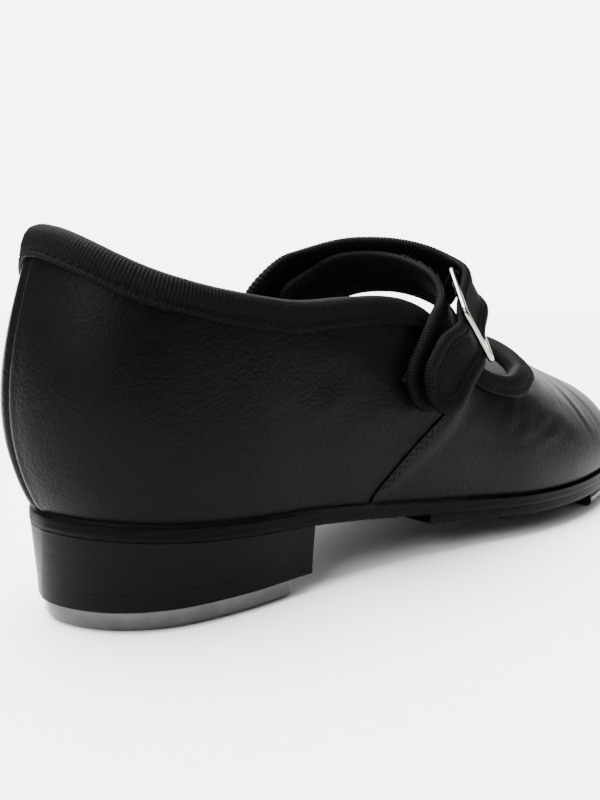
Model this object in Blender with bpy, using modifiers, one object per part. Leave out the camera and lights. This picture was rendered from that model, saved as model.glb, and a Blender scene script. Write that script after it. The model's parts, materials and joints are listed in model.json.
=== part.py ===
"""A bar-strap tap shoe for the right foot, as an assembly of its real pieces.

Lengths are in millimetres and become metres when a mesh is made. The design is laid out from the
back of the heel: x runs to the toe, y to the inner side of the foot, z up from the floor. The
finished parts hang from an empty that puts the origin at the middle of the heel tap's walking face.
"""

import math

import bmesh
import bpy
import numpy as np
from mathutils import Matrix, Vector

MM = 0.001
GAP = 0.3

# ---- driving dimensions ----
SHOE_LENGTH = 245.0
HEEL_LENGTH = 55.5
HEEL_TAP_LENGTH = 49.5
HEEL_TAP_THICK = 5.0
OUTSOLE_THICK = 2.8
HALF_SOLE_THICK = 2.4
HALF_SOLE_START = 96.0
TOP_PIECE_THICK = 4.0
TOE_TAP_START = 178.0
TOE_TAP_THICK = 3.4
RUBBER_START = 128.0
BOARD_LIFT = 2.0
ORIGIN_X = 27.0

LEATHER = 1.4
STIFFENER = 1.2
PUFF = 0.7
PUFF_DEPTH = 2.7
LINING = 0.8
VAMP_LINING_DEPTH = 4.0
BINDING = 0.8
BINDING_WIDTH = 6.2

STRAP_WIDTH = 17.0
UNDER_STRAP_WIDTH = 15.0
STRAP_THICK = 1.6
PATCH_THICK = 0.6
KEEPER_THICK = 0.6
ANCHOR_DEPTH = 6.6
ANCHOR_WIDTH = 26.0
WIRE_RADIUS = 0.85
RING_INNER_WIDTH = 18.2

LATERAL, MEDIAL = -1, 1

# Feather line of the upper in plan, from the back of the heel round the outer side to the toe and
# home along the inner side.
OUTLINE = [
    (0.5, 0), (5.5, -13.5), (17, -23.2), (34, -27.6), (56, -28.4), (84, -30), (111, -34.8),
    (137, -40.8), (160, -42.6), (185, -40), (209, -32.6), (229, -20.5), (241.5, -7), (244.5, 4),
    (239, 16.5), (223, 28), (200, 35.5), (175, 38), (150, 35.5), (122, 29.5), (95, 26), (70, 26.5),
    (50, 27.8), (32, 27.2), (17, 23), (5.5, 13.5),
]
# Height of the feather line along the shoe: heel seat, waist, tread and toe spring.
FEATHER_HEIGHT = [(0, 25), (28, 22.4), (56, 20.4), (84, 17.2), (112, 14.6), (140, 13), (168, 13.2),
                  (200, 15), (225, 17.4), (245, 20)]
# Height of the last's ridge, from the ankle down the instep to the toe.
RIDGE_HEIGHT = [(30, 136), (60, 115), (80, 101), (100, 88), (120, 78), (140, 69), (160, 61.5),
                (175, 56), (190, 50.5), (205, 45.5), (214, 42)]
RIDGE_SIDE = [(30, 0), (90, 0), (140, 4), (190, 6), (214, 5)]
RIDGE_FIRST, RIDGE_LAST = 30.0, 214.0
# How square the section is on each side of the ridge.
SQUARENESS_LATERAL = [(30, 2.3), (60, 2.3), (95, 2.5), (120, 2.1), (150, 1.75), (185, 1.6), (214, 1.8)]
SQUARENESS_MEDIAL = [(30, 2.3), (60, 2.3), (95, 2.5), (120, 2.4), (150, 2.3), (185, 2.2), (214, 2.1)]
# How far the wall swells past the feather line a little above it.
HEEL_CURVE = 2.9
SWELL = [(0, 3.4), (20, 3), (50, 2.6), (90, 4), (130, 2.6), (180, 1.6), (245, 1.4)]
# Height of the top line; past the last row it climbs to the ridge at the throat.
TOP_LATERAL = [(0, 85.5), (8, 80), (15, 76), (24, 73), (36, 70.8), (52, 69.4), (66, 70.4), (80, 71),
               (89, 70), (96, 67.5), (102, 62.8), (109, 56.5), (119, 50.6), (131, 48), (146, 50)]
TOP_MEDIAL = [(0, 85.5), (8, 80), (15, 76), (24, 73), (36, 70.8), (52, 69.4), (66, 69.8), (80, 69),
              (92, 66.5), (104, 62), (118, 57.5), (131, 55), (146, 55)]
THROAT_BACK, THROAT_FRONT = 146.0, 164.0
# The double strap, as places of its middle line: on the outer wall as (distance along, height,
# how proud), then free over the instep as (x, y, z), then down inside the inner wall.
UNDER_WALL = [(84.5, 44, 2.9), (90.5, 52.3, 2.9), (98, 61, 3.4)]
UNDER_ARCH = [(106.5, -29.2, 67.5), (109.7, -24, 72.7), (111.6, -15, 77), (109.8, -7, 79.6),
              (106.3, 0.5, 80.4), (101.3, 8.3, 79.1), (97.3, 13, 75.6)]
TIP_WALL = [(88.8, 43.6, 6.2), (93.6, 49.2, 6.2), (98.9, 54.9, 6.4)]
OVER_ARCH = [(120.6, -21.5, 78), (118.4, -16, 80.8), (113.8, -7.5, 83.3), (109, -1, 83.9),
             (105, 5.5, 83.7), (96.1, 14.5, 80.6), (89.5, 17.6, 77.8)]
# Where each strap meets the hinge line above the inner top line: its middle, and half its slanted end.
OVER_ROOT, OVER_ROOT_HALF = (83, 18.8, 73), (10, -0.3, -1.4)
UNDER_ROOT, UNDER_ROOT_HALF = (91.5, 16.0, 71.4), (7.6, 0, -3.4)
STRAP_HINGE = (83, 18, 72.6)
STRAP_LEAN = (0.64, 0.0, -0.77)
WALL_LEAN = (0.72, 0.0, -0.69)
PATCH_WIDTH = 11.0
RING_OUTER = (106.4, -39.2, 61.1)
RING_INNER = (118.0, -25.7, 73.6)
RING_ALONG = (0.72, 0.03, -0.69)
# Where the vamp laps over the quarters: distance along the shoe against height.
SEAM = [(20, 74), (26, 83), (35, 96), (42, 103), (50, 108.5), (60, 113)]


def through(points):
    """A smooth curve through (place, value) rows, as a function of place."""
    places = np.array([p for p, _ in points], float)
    values = np.array([v for _, v in points], float)
    steps = np.diff(places)
    slopes = np.diff(values) / steps
    tangents = np.empty(len(places))
    tangents[1:-1] = (slopes[:-1] * steps[1:] + slopes[1:] * steps[:-1]) / (steps[1:] + steps[:-1])
    tangents[0], tangents[-1] = slopes[0], slopes[-1]

    def value(place):
        x = min(max(place, places[0]), places[-1])
        i = min(int(np.searchsorted(places, x, side="right")) - 1, len(steps) - 1)
        t = (x - places[i]) / steps[i]
        a = (1 + 2 * t) * (1 - t) ** 2 * values[i] + t * t * (3 - 2 * t) * values[i + 1]
        return a + steps[i] * (t * (1 - t) ** 2 * tangents[i] - t * t * (1 - t) * tangents[i + 1])

    return value


def path_through(points, samples, closed=False):
    """Points evenly spaced on a smooth curve through the given ones."""
    rows = [np.array(p, float) for p in points]
    if closed:
        rows.append(rows[0])
    spans = [np.linalg.norm(b - a) ** 0.75 for a, b in zip(rows, rows[1:])]
    place = np.concatenate([[0], np.cumsum(spans)])
    if closed:
        rows = [rows[-3], rows[-2]] + rows + [rows[1], rows[2]]
        ahead, behind = [spans[0], spans[1]], [spans[-1], spans[-2]]
        place = np.concatenate([[-behind[0] - behind[1], -behind[0]], place,
                                [place[-1] + ahead[0], place[-1] + ahead[0] + ahead[1]]])
        first, last = place[2], place[-3]
    else:
        first, last = place[0], place[-1]
    axes = [through(list(zip(place, [row[k] for row in rows]))) for k in range(len(rows[0]))]
    fine = np.array([[axis(t) for axis in axes] for t in np.linspace(first, last, 12 * len(points))])
    run = np.concatenate([[0], np.cumsum(np.linalg.norm(np.diff(fine, axis=0), axis=1))])
    even = np.linspace(0, run[-1], samples)
    return np.stack([np.interp(even, run, fine[:, k]) for k in range(fine.shape[1])], axis=1)


def unit(vector):
    return vector / max(np.linalg.norm(vector), 1e-9)


LOOP = path_through(OUTLINE, 721, closed=True)
TOE_INDEX = int(np.argmax(LOOP[:, 0]))
feather_height = through(FEATHER_HEIGHT)
ridge_height = through(RIDGE_HEIGHT)
ridge_side = through(RIDGE_SIDE)
squareness = {LATERAL: through(SQUARENESS_LATERAL), MEDIAL: through(SQUARENESS_MEDIAL)}
swell = through(SWELL)
top_height = {LATERAL: through(TOP_LATERAL), MEDIAL: through(TOP_MEDIAL)}
seam_place = through(SEAM)


def half_outline(side):
    """The feather line's points from heel to toe on one side."""
    return LOOP[:TOE_INDEX + 1] if side == LATERAL else LOOP[TOE_INDEX:][::-1]


def outline_point(side, share):
    """A point on one side's feather line, at a share of its length from the heel."""
    half = half_outline(side)
    place = share * (len(half) - 1)
    i = min(int(place), len(half) - 2)
    return half[i] + (half[i + 1] - half[i]) * (place - i)


def share_at(side, x):
    """The share of one side's feather line at which it reaches x."""
    half = half_outline(side)
    return float(np.interp(x, half[:, 0], np.linspace(0, 1, len(half))))


def ridge_place(x):
    """Where the section through a feather point meets the ridge: sections fan out at both ends."""
    start, end = 48.0, 188.0
    if x < start:
        return RIDGE_FIRST + (start - RIDGE_FIRST) * (x / start) ** 2
    if x > end:
        reach = SHOE_LENGTH - end
        return RIDGE_LAST - (RIDGE_LAST - end) * (1 - min((x - end) / reach, 1)) ** 2
    return x


def heel_curve(x, height):
    """How far the back of the heel stands out at mid height, and draws in again at the top line."""
    return HEEL_CURVE * math.exp(-(x / 20.0) ** 2) * math.sin(math.pi * height / 48.0)


def last_point(side, share, rise):
    """The outside of the upper: rise is 0 at the feather line and 1 at the ridge."""
    foot = outline_point(side, share)
    ridge_x = ridge_place(foot[0])
    ridge = np.array([ridge_x, ridge_side(ridge_x)])
    floor = feather_height(foot[0])
    power = squareness[side](ridge_x)
    across = max(1 - rise ** power, 0) ** (1 / power)
    height = rise * (ridge_height(ridge_x) - floor)
    reach = foot - ridge
    swelling = swell(foot[0]) * (1 - math.exp(-height / 9.0)) + heel_curve(foot[0], height)
    bulge = swelling / max(np.linalg.norm(reach), 1)
    plan = ridge + reach * across * (1 + bulge)
    return np.array([plan[0], plan[1], floor + height])


def top_rise(side, share, trim=0.0):
    """The rise at which an edge, a trim below the top line, crosses this section; 1 past the throat."""
    foot = outline_point(side, share)
    ridge_x = ridge_place(foot[0])
    front = THROAT_FRONT + trim
    if ridge_x >= front:
        return 1.0
    floor = feather_height(foot[0])
    full = ridge_height(ridge_x) - floor
    rise = (top_height[side](foot[0]) - trim - floor) / full
    if ridge_x > THROAT_BACK:
        turn = (ridge_x - THROAT_BACK) / (front - THROAT_BACK)
        power = squareness[side](ridge_x)
        width = max(1 - rise ** power, 0) ** (1 / power) * math.sqrt(max(1 - turn ** 2.2, 0))
        rise = (1 - width ** power) ** (1 / power)
    return min(rise, 1.0)


def skin_frame(side, share, rise):
    """A point on the upper, its outward normal and the direction up the wall."""
    step = 0.004
    here = last_point(side, share, rise)
    level = min(rise, 0.985)
    low, high = max(level - step, 0), level + step
    up = unit(last_point(side, share, high) - last_point(side, share, low))
    ahead = last_point(side, min(share + step, 1), level)
    along = unit(ahead - last_point(side, max(share - step, 0), level))
    return here, unit(np.cross(up, along)) * side, up


def skin(side, share, rise, depth=0.0):
    """A point under (positive depth) or over the outside of the upper."""
    here, out, _ = skin_frame(side, share, rise)
    return here - out * depth


def skin_at(x, z, side, proud=0.0):
    """The point of the upper at a distance along the shoe and a height, standing proud of it."""
    share = share_at(side, x)
    floor = feather_height(x)
    rise = (z - floor) / (ridge_height(ridge_place(x)) - floor)
    return skin(side, share, rise, -proud)


# ---- scene, materials and meshes ----

def clear_scene():
    for obj in list(bpy.data.objects):
        bpy.data.objects.remove(obj)


def collection(name):
    made = bpy.data.collections.new(name)
    bpy.context.scene.collection.children.link(made)
    return made


def material(name, colour, roughness, metallic=0.0):
    made = bpy.data.materials.new(name)
    made.use_nodes = True
    shader = made.node_tree.nodes["Principled BSDF"]
    shader.inputs["Base Color"].default_value = (*colour, 1)
    shader.inputs["Roughness"].default_value = roughness
    shader.inputs["Metallic"].default_value = metallic
    return made


clear_scene()
SHOE = collection("tap_shoe")
CUTTERS = collection("tap_shoe_cutters")
CUTTERS.hide_render = True
BLACK_LEATHER = material("black_leather", (0.012, 0.012, 0.013), 0.42)
GREY_LINING = material("grey_lining", (0.62, 0.62, 0.62), 0.8)
BLACK_GROSGRAIN = material("black_grosgrain", (0.01, 0.01, 0.011), 0.75)
STIFF_FIBRE = material("stiff_fibre", (0.55, 0.48, 0.38), 0.7)
BLACK_SOLE = material("black_sole_edge", (0.015, 0.014, 0.014), 0.5)
BLACK_RUBBER = material("black_rubber", (0.02, 0.02, 0.02), 0.8)
HEEL_STACK = material("heel_stack", (0.013, 0.012, 0.012), 0.38)
CORK = material("cork", (0.5, 0.33, 0.18), 0.9)
SPRING_STEEL = material("spring_steel", (0.5, 0.5, 0.52), 0.35, 1.0)
TAP_ALLOY = material("tap_alloy", (0.78, 0.78, 0.79), 0.3, 1.0)
NICKEL = material("nickel_wire", (0.82, 0.8, 0.76), 0.12, 1.0)
HOOK_TAPE = material("hook_tape", (0.012, 0.012, 0.012), 0.9)


def add_part(name, mesh, finish, frame):
    """A named part under the shoe's empty, or under the empty of the joint that moves it."""
    made = bpy.data.objects.new(name, mesh)
    mesh.materials.append(finish)
    SHOE.objects.link(made)
    made.parent = frame
    made.matrix_parent_inverse = Matrix.Identity(4)
    shift = Vector(frame["place"]) if "place" in frame else Vector((0, 0, 0))
    mesh.transform(Matrix.Translation(-shift * MM))
    mesh.shade_smooth()
    mesh.set_sharp_from_angle(angle=math.radians(40))
    return made


def empty(name, place, parent=None):
    """An empty at a place in the shoe's layout, for the pieces that turn about it."""
    made = bpy.data.objects.new(name, None)
    SHOE.objects.link(made)
    made["place"] = [float(c) for c in place]
    if parent:
        made.parent = parent
        made.location = (Vector(place) - Vector(parent["place"])) * MM
    return made


BASE = empty("tap_shoe_origin", (0, 0, 0))
BASE.location = (-ORIGIN_X * MM, 0, 0)


def mesh_of(name, rows, faces):
    made = bpy.data.meshes.new(name)
    made.from_pydata([tuple(float(c) * MM for c in row) for row in rows], [], faces)
    tidy = bmesh.new()
    tidy.from_mesh(made)
    bmesh.ops.remove_doubles(tidy, verts=tidy.verts, dist=1e-6)
    bmesh.ops.recalc_face_normals(tidy, faces=tidy.faces)
    if tidy.calc_volume(signed=True) < 0:
        bmesh.ops.reverse_faces(tidy, faces=tidy.faces)
    tidy.to_mesh(made)
    tidy.free()
    return made


def grid_faces(rows, columns, wrap=False):
    """Quads over a grid of points stored row by row; wrap joins the last column to the first."""
    width = columns if wrap else columns - 1
    return [
        (r * columns + c, r * columns + (c + 1) % columns,
         (r + 1) * columns + (c + 1) % columns, (r + 1) * columns + c)
        for r in range(rows - 1) for c in range(width)
    ]


def tube(name, rings, finish, frame, closed=False):
    """A closed solid lofted through rings of points; closed joins the last ring to the first."""
    count = len(rings[0])
    rows = [point for ring in rings for point in ring]
    faces = grid_faces(len(rings), count, wrap=True)
    if closed:
        last = (len(rings) - 1) * count
        faces += [(last + c, last + (c + 1) % count, (c + 1) % count, c) for c in range(count)]
    else:
        faces += [tuple(range(count)), tuple(range(len(rows) - count, len(rows)))]
    return add_part(name, mesh_of(name, rows, faces), finish, frame)


# ---- upper panels ----

def panel_height(side, share, level, low, high, trim):
    """The rise at a level between two shares of the top line, stopping short of it by the trim."""
    foot = outline_point(side, share)
    ridge_x = ridge_place(foot[0])
    power = squareness[side](ridge_x)
    top = top_rise(side, share, trim)
    turn = math.asin(min(top, 1) ** (power / 2)) * (low + (high - low) * level)
    return math.sin(turn) ** (2 / power)


def panel(name, walk, thickness, depth, finish, columns, rows, low=0.0, high=1.0, trim=0.0):
    """An open sheet on the upper, given its thickness by Solidify.

    walk(level) gives the four numbers that say where the sheet starts and ends at that level.
    """
    points = []
    for j in range(rows + 1):
        level = j / rows
        for i in range(columns + 1):
            side, share = walk(level, i / columns)
            rise = panel_height(side, share, level, low, high, trim)
            points.append(skin(side, share, rise, depth))
    made = bpy.data.meshes.new(name)
    made.from_pydata([tuple(p * MM) for p in points], [], grid_faces(rows + 1, columns + 1))
    tidy = bmesh.new()
    tidy.from_mesh(made)
    bmesh.ops.remove_doubles(tidy, verts=tidy.verts, dist=1e-6)
    bmesh.ops.recalc_face_normals(tidy, faces=tidy.faces)
    middle = np.mean([p for p in points], axis=0)
    facing = sum(f.normal.dot(f.calc_center_median() - Vector((middle[0], 0, 20)) * MM) for f in tidy.faces)
    if facing < 0:
        bmesh.ops.reverse_faces(tidy, faces=tidy.faces)
    tidy.to_mesh(made)
    tidy.free()
    part = add_part(name, made, finish, BASE)
    wall = part.modifiers.new("thickness", "SOLIDIFY")
    wall.thickness = thickness * MM
    wall.offset = -1
    return part


def seam_share(side, level, shift):
    """The share at which a quarter or the vamp ends, at a level of the wall."""
    x = 90.0
    for _ in range(12):
        share = share_at(side, x)
        floor = feather_height(x)
        height = floor + level * top_rise(side, share) * (ridge_height(ridge_place(x)) - floor)
        x = 0.5 * x + 0.5 * (seam_place(height) + shift)
    return share_at(side, x)


def quarter_walk(side, back_gap):
    def walk(level, part):
        return side, back_gap + (seam_share(side, level, -GAP) - back_gap) * part
    return walk


def toe_share(side, start, part):
    """Walks one side from a share to the toe, with short steps where the throat turns."""
    knots = [(0, start), (0.22, share_at(side, 136)), (0.38, share_at(side, 154)),
             (0.56, share_at(side, THROAT_FRONT + 1.5)), (1, 1)]
    return float(np.interp(part, [k for k, _ in knots], [v for _, v in knots]))


def toe_turn(start_lateral, start_medial, part):
    """Walks from the outer side round the toe to the inner side."""
    if part <= 0.5:
        return LATERAL, toe_share(LATERAL, start_lateral, part * 2)
    return MEDIAL, toe_share(MEDIAL, start_medial, 2 - part * 2)


def vamp_walk(shift):
    def walk(level, part):
        return toe_turn(seam_share(LATERAL, level, shift), seam_share(MEDIAL, level, shift), part)
    return walk


def heel_walk(reach_lateral, reach_medial):
    """Round the back of the heel, from a distance along the outer side to one on the inner."""
    a, b = share_at(LATERAL, reach_lateral), share_at(MEDIAL, reach_medial)

    def walk(level, part):
        place = -a + (a + b) * part
        return (LATERAL if place < 0 else MEDIAL), abs(place)
    return walk


def toe_walk(start):
    a, b = share_at(LATERAL, start), share_at(MEDIAL, start)

    def walk(level, part):
        return toe_turn(a, b, part)
    return walk


def cap_walk(start):
    a, b = share_at(LATERAL, start), share_at(MEDIAL, start)

    def walk(level, part):
        turn = part * 2
        return (LATERAL, a + (1 - a) * turn) if turn <= 1 else (MEDIAL, 1 + (b - 1) * (turn - 1))
    return walk


def build_upper():
    bottom = 0.012
    back = 0.0012
    panel("quarter_lateral", quarter_walk(LATERAL, back), LEATHER, 0, BLACK_LEATHER, 22, 10,
          low=bottom, trim=1.0)
    panel("quarter_medial", quarter_walk(MEDIAL, back), LEATHER, 0, BLACK_LEATHER, 22, 10,
          low=bottom, trim=1.0)
    panel("vamp", vamp_walk(GAP), LEATHER, 0, BLACK_LEATHER, 44, 10, low=bottom, trim=1.0)
    panel("heel_counter", heel_walk(46, 46), STIFFENER, LEATHER + GAP, STIFF_FIBRE, 16, 5,
          low=0.02, high=0.72)
    deep = LEATHER + STIFFENER + 2.6 * GAP
    panel("quarter_lining", heel_walk(88, 88), LINING, deep, GREY_LINING, 32, 7, low=0.03,
          trim=BINDING_WIDTH + 2)
    panel("vamp_lining", toe_walk(89.2), LINING, VAMP_LINING_DEPTH, GREY_LINING, 36, 8, low=0.03,
          trim=BINDING_WIDTH + 5)
    panel("toe_puff", cap_walk(199), PUFF, PUFF_DEPTH, STIFF_FIBRE, 24, 8, low=0.08)


def top_edge():
    """Points and outward normals along the whole top line, from the back round the throat and home."""
    turns = [math.sin(t * math.pi / 2) for t in np.linspace(0, 1, 46)]
    places = [(LATERAL, share_at(LATERAL, THROAT_FRONT) * t) for t in turns]
    places += [(MEDIAL, share_at(MEDIAL, THROAT_FRONT) * t) for t in turns[-2:0:-1]]
    frames = [skin_frame(side, share, top_rise(side, share)) for side, share in places]
    points = np.array([frame[0] for frame in frames])
    normals = np.array([frame[1] for frame in frames])
    for _ in range(3):
        normals = (np.roll(normals, 1, axis=0) + 2 * normals + np.roll(normals, -1, axis=0)) / 4
    return points, np.array([unit(n) for n in normals])


def build_binding():
    """A tape folded over the top line: down the outside, over the edge and down the lining."""
    points, normals = top_edge()
    inner = LEATHER + STIFFENER + LINING + 3 * GAP
    over = GAP + BINDING
    rings = []
    for index, (here, out) in enumerate(zip(points, normals)):
        along = unit(points[(index + 1) % len(points)] - points[index - 1])
        up = unit(np.cross(out, along))
        profile = [
            (over, -BINDING_WIDTH), (over, 0), (over - 0.5, 0.9), (-inner / 2, 1.3),
            (-inner - BINDING + 0.5, 0.9), (-inner - BINDING, 0), (-inner - BINDING, -BINDING_WIDTH),
            (-inner, -BINDING_WIDTH), (-inner, -0.5), (GAP, -0.5), (GAP, -BINDING_WIDTH),
        ]
        rings.append([here + out * a + up * b for a, b in profile])
    tube("topline_binding", rings, BLACK_GROSGRAIN, BASE, closed=True)


# ---- strap, ring and hook-and-loop patches ----

def strip(name, rows, thickness, finish, frame, samples, round_start=False):
    """A flat strap along rows of (middle, half of its width); its first end can be a half circle."""
    places = path_through([tuple(middle) + tuple(half) for middle, half in rows], samples)
    run = np.concatenate([[0], np.cumsum(np.linalg.norm(np.diff(places[:, :3], axis=0), axis=1))])
    if round_start:
        stops = np.concatenate([[0, 0.15, 0.6, 1.4], run[1:]])
        places = np.stack([np.interp(stops, run, places[:, k]) for k in range(6)], axis=1)
        run = stops
    rings = []
    for index, place in enumerate(places):
        before, after = places[max(index - 1, 0), :3], places[min(index + 1, len(places) - 1), :3]
        half = np.linalg.norm(place[3:])
        across = place[3:] / half
        out = unit(np.cross(unit(after - before), across))
        reach = half
        if round_start and run[index] < half:
            reach = half * math.sqrt(max(1 - (1 - run[index] / half) ** 2, 0.02))
        edge = min(0.5, reach / 3)
        profile = [(reach, 0), (reach - edge, thickness / 2), (edge - reach, thickness / 2),
                   (-reach, 0), (edge - reach, -thickness / 2), (reach - edge, -thickness / 2)]
        rings.append([place[:3] + across * a + out * b for a, b in profile])
    return tube(name, rings, finish, frame)


def wide(middles, lean, width):
    """Rows for a strip of one width, whose middle points are given."""
    half = unit(np.array(lean)) * width / 2
    return [(np.array(middle), half) for middle in middles]


def on_wall(places, width):
    """Rows for a strip that lies along the outer wall, each (distance along, height, how proud)."""
    rows = []
    for x, z, proud in places:
        here = skin_at(x, z, LATERAL, proud)
        out = unit(here - skin_at(x, z, LATERAL))
        lean = np.array(WALL_LEAN)
        rows.append((here, unit(lean - out * np.dot(lean, out)) * width / 2))
    return rows


def wire_ring(name, frame):
    """A rectangle of wire with rounded corners, closed on itself."""
    outer, inner, side, along, _ = ring_axes()
    half_bar = RING_INNER_WIDTH / 2 + WIRE_RADIUS
    length = np.linalg.norm(inner - outer)
    corner = 1.6
    middle = (outer + inner) / 2
    points = []
    for a_sign, b_sign, first in ((1, 1, 0), (-1, 1, 90), (-1, -1, 180), (1, -1, 270)):
        centre = middle + along * a_sign * (half_bar - corner) + side * b_sign * (length / 2 - corner)
        for step in range(4):
            angle = math.radians(first + 30 * step)
            points.append(centre + along * corner * math.cos(angle) + side * corner * math.sin(angle))
    curve = bpy.data.curves.new(name, "CURVE")
    curve.dimensions = "3D"
    curve.bevel_depth = WIRE_RADIUS * MM
    curve.bevel_resolution = 2
    spline = curve.splines.new("POLY")
    spline.points.add(len(points) - 1)
    for slot, point in zip(spline.points, points):
        slot.co = (*((point - np.array(frame["place"])) * MM), 1)
    spline.use_cyclic_u = True
    made = bpy.data.objects.new(name, curve)
    curve.materials.append(NICKEL)
    SHOE.objects.link(made)
    made.parent = frame
    return made


def ring_axes():
    """The ring's outer and inner bar, the way from one to the other, along a bar, and outwards."""
    outer, inner, along = np.array(RING_OUTER), np.array(RING_INNER), unit(np.array(RING_ALONG))
    side = unit((inner - outer) - along * np.dot(inner - outer, along))
    out = unit(np.cross(along, side))
    return outer, inner, side, along, out if out[1] < 0 else -out


def patch(name, places, proud, frame):
    rows = on_wall([(x, z, proud) for x, z in places], PATCH_WIDTH)
    strip(name, rows, PATCH_THICK, HOOK_TAPE, frame, 8)


def build_patches(tip, strap):
    """Hook-and-loop patches: one on the quarter, one under each strap's end."""
    low = GAP + PATCH_THICK / 2
    under_end = [(86.6, 46.8), (90.2, 51.8), (94.6, 57.2)]
    patch("quarter_loop_patch", under_end, low, BASE)
    patch("strap_end_hook_patch", under_end, low + PATCH_THICK + GAP, strap)
    patch("tip_hook_patch", [(91.6, 46.8), (95.1, 50.8), (98.7, 54.7)], 4.6, tip)


def build_strap():
    strap = empty("strap_hinge", STRAP_HINGE, BASE)
    tip = empty("strap_tip_hinge", RING_OUTER, strap)
    ring = empty("ring_hinge", RING_INNER, strap)
    outer, inner, side, along, out = ring_axes()
    build_patches(tip, strap)
    rows = on_wall(UNDER_WALL, UNDER_STRAP_WIDTH) + wide(UNDER_ARCH, STRAP_LEAN, UNDER_STRAP_WIDTH)
    rows.append((UNDER_ROOT, UNDER_ROOT_HALF))
    strip("under_strap", rows, STRAP_THICK, BLACK_GROSGRAIN, strap, 40, round_start=True)
    drop = WIRE_RADIUS + GAP + STRAP_THICK / 2
    root = outer - side * 0.6 - out * (drop + GAP)
    rows = on_wall(TIP_WALL, STRAP_WIDTH) + wide([root], RING_ALONG, STRAP_WIDTH)
    strip("strap_tip", rows, STRAP_THICK, BLACK_GROSGRAIN, tip, 18, round_start=True)
    through_ring = [outer + side * 2.2 - out * drop,
                    outer + side * np.linalg.norm(inner - outer) * 0.5 + out * 0.2,
                    inner + out * (drop + KEEPER_THICK + 2 * GAP)]
    rows = wide(through_ring, RING_ALONG, STRAP_WIDTH) + wide(OVER_ARCH, STRAP_LEAN, STRAP_WIDTH)
    rows.append((OVER_ROOT, OVER_ROOT_HALF))
    strip("over_strap", rows, STRAP_THICK, BLACK_GROSGRAIN, strap, 44)
    wire_ring("buckle_ring", ring)
    build_keeper(strap)
    inside = [skin_at(x, z, MEDIAL, -ANCHOR_DEPTH) for x, z in ((84, 50), (85, 56), (86, 64))]
    strip("strap_anchor", wide(inside, (1, 0, -0.1), ANCHOR_WIDTH), STRAP_THICK, BLACK_GROSGRAIN, BASE, 8)


def build_keeper(frame):
    """A loop of tape round the ring's inner bar, standing on the under strap."""
    _, inner, side, along, out = ring_axes()
    wrap = WIRE_RADIUS + GAP + KEEPER_THICK / 2
    middle = inner - along * 4.0
    strap_out = unit(np.array((0.62, -0.57, 0.52)))
    low, high = np.array(UNDER_ARCH[1]), np.array(UNDER_ARCH[2])
    middles = [low + (high - low) * part + along * 3.2 + strap_out * 2.0 for part in (0.6, 0.25)]
    middles += [middle + (side * math.cos(turn) + out * math.sin(turn)) * wrap
                for turn in np.radians([-70, -30, 10, 50, 90, 130])]
    strip("ring_keeper", wide(middles, RING_ALONG, 7), KEEPER_THICK, BLACK_GROSGRAIN, frame, 18)


# ---- bottom: plates lofted inside the feather line ----

def inset_loop(inset):
    """The feather line moved inwards, or outwards when the inset is negative."""
    before, after = np.roll(LOOP[:-1], 1, axis=0), np.roll(LOOP[:-1], -1, axis=0)
    tangent = after - before
    tangent /= np.linalg.norm(tangent, axis=1)[:, None]
    inward = np.stack([-tangent[:, 1], tangent[:, 0]], axis=1)
    return LOOP[:-1] + inward * inset


def edges_at(loop, x):
    """The outer and inner y of a loop at x."""
    toe = int(np.argmax(loop[:, 0]))
    heel = int(np.argmin(loop[:, 0]))
    ordered = np.roll(loop, -heel, axis=0)
    toe = int(np.argmax(ordered[:, 0]))
    outer, inner = ordered[:toe + 1], ordered[toe:][::-1]
    return np.interp(x, outer[:, 0], outer[:, 1]), np.interp(x, inner[:, 0], inner[:, 1])


def plate_ring(inset, start, end, height, stations, across, round_start, round_end):
    """One level of a plate: rows of points from its outer edge to its inner edge."""
    loop = inset_loop(inset)
    low = max(start, loop[:, 0].min()) if round_start else start
    high = min(end, loop[:, 0].max()) if round_end else end
    rows = []
    for k in range(stations):
        t = k / (stations - 1)
        if round_start and round_end:
            t = (1 - math.cos(math.pi * t)) / 2
        elif round_start:
            t = 1 - math.cos(math.pi * t / 2)
        elif round_end:
            t = math.sin(math.pi * t / 2)
        x = low + (high - low) * t
        outer, inner = edges_at(loop, x)
        rows.append([(x, outer + (inner - outer) * c / across, height(x)) for c in range(across + 1)])
    return rows


def plate(name, levels, start, end, finish, stations=30, across=4, round_start=True, round_end=True):
    """A solid lofted up through levels of (inset, height function) over part of the shoe's plan."""
    rings = [plate_ring(inset, start, end, height, stations, across, round_start, round_end)
             for inset, height in levels]
    points, faces = [], []
    for ring in rings:
        points += [p for row in ring for p in row]
    count = stations * (across + 1)
    caps = grid_faces(stations, across + 1)
    faces += caps
    faces += [tuple(v + count * (len(levels) - 1) for v in face) for face in caps]
    edge = [s * (across + 1) for s in range(stations)]
    edge += [(stations - 1) * (across + 1) + c for c in range(1, across + 1)]
    edge += [s * (across + 1) + across for s in range(stations - 2, -1, -1)]
    edge += [c for c in range(across - 1, 0, -1)]
    for level in range(len(levels) - 1):
        low, high = level * count, (level + 1) * count
        for a, b in zip(edge, edge[1:] + edge[:1]):
            faces.append((a + low, b + low, b + high, a + high))
    made = bpy.data.meshes.new(name)
    made.from_pydata([tuple(c * MM for c in p) for p in points], [], faces)
    tidy = bmesh.new()
    tidy.from_mesh(made)
    bmesh.ops.remove_doubles(tidy, verts=tidy.verts, dist=2e-6)
    bmesh.ops.dissolve_degenerate(tidy, edges=tidy.edges, dist=2e-6)
    bmesh.ops.recalc_face_normals(tidy, faces=tidy.faces)
    if tidy.calc_volume(signed=True) < 0:
        bmesh.ops.reverse_faces(tidy, faces=tidy.faces)
    tidy.to_mesh(made)
    tidy.free()
    return add_part(name, made, finish, BASE)


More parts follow.
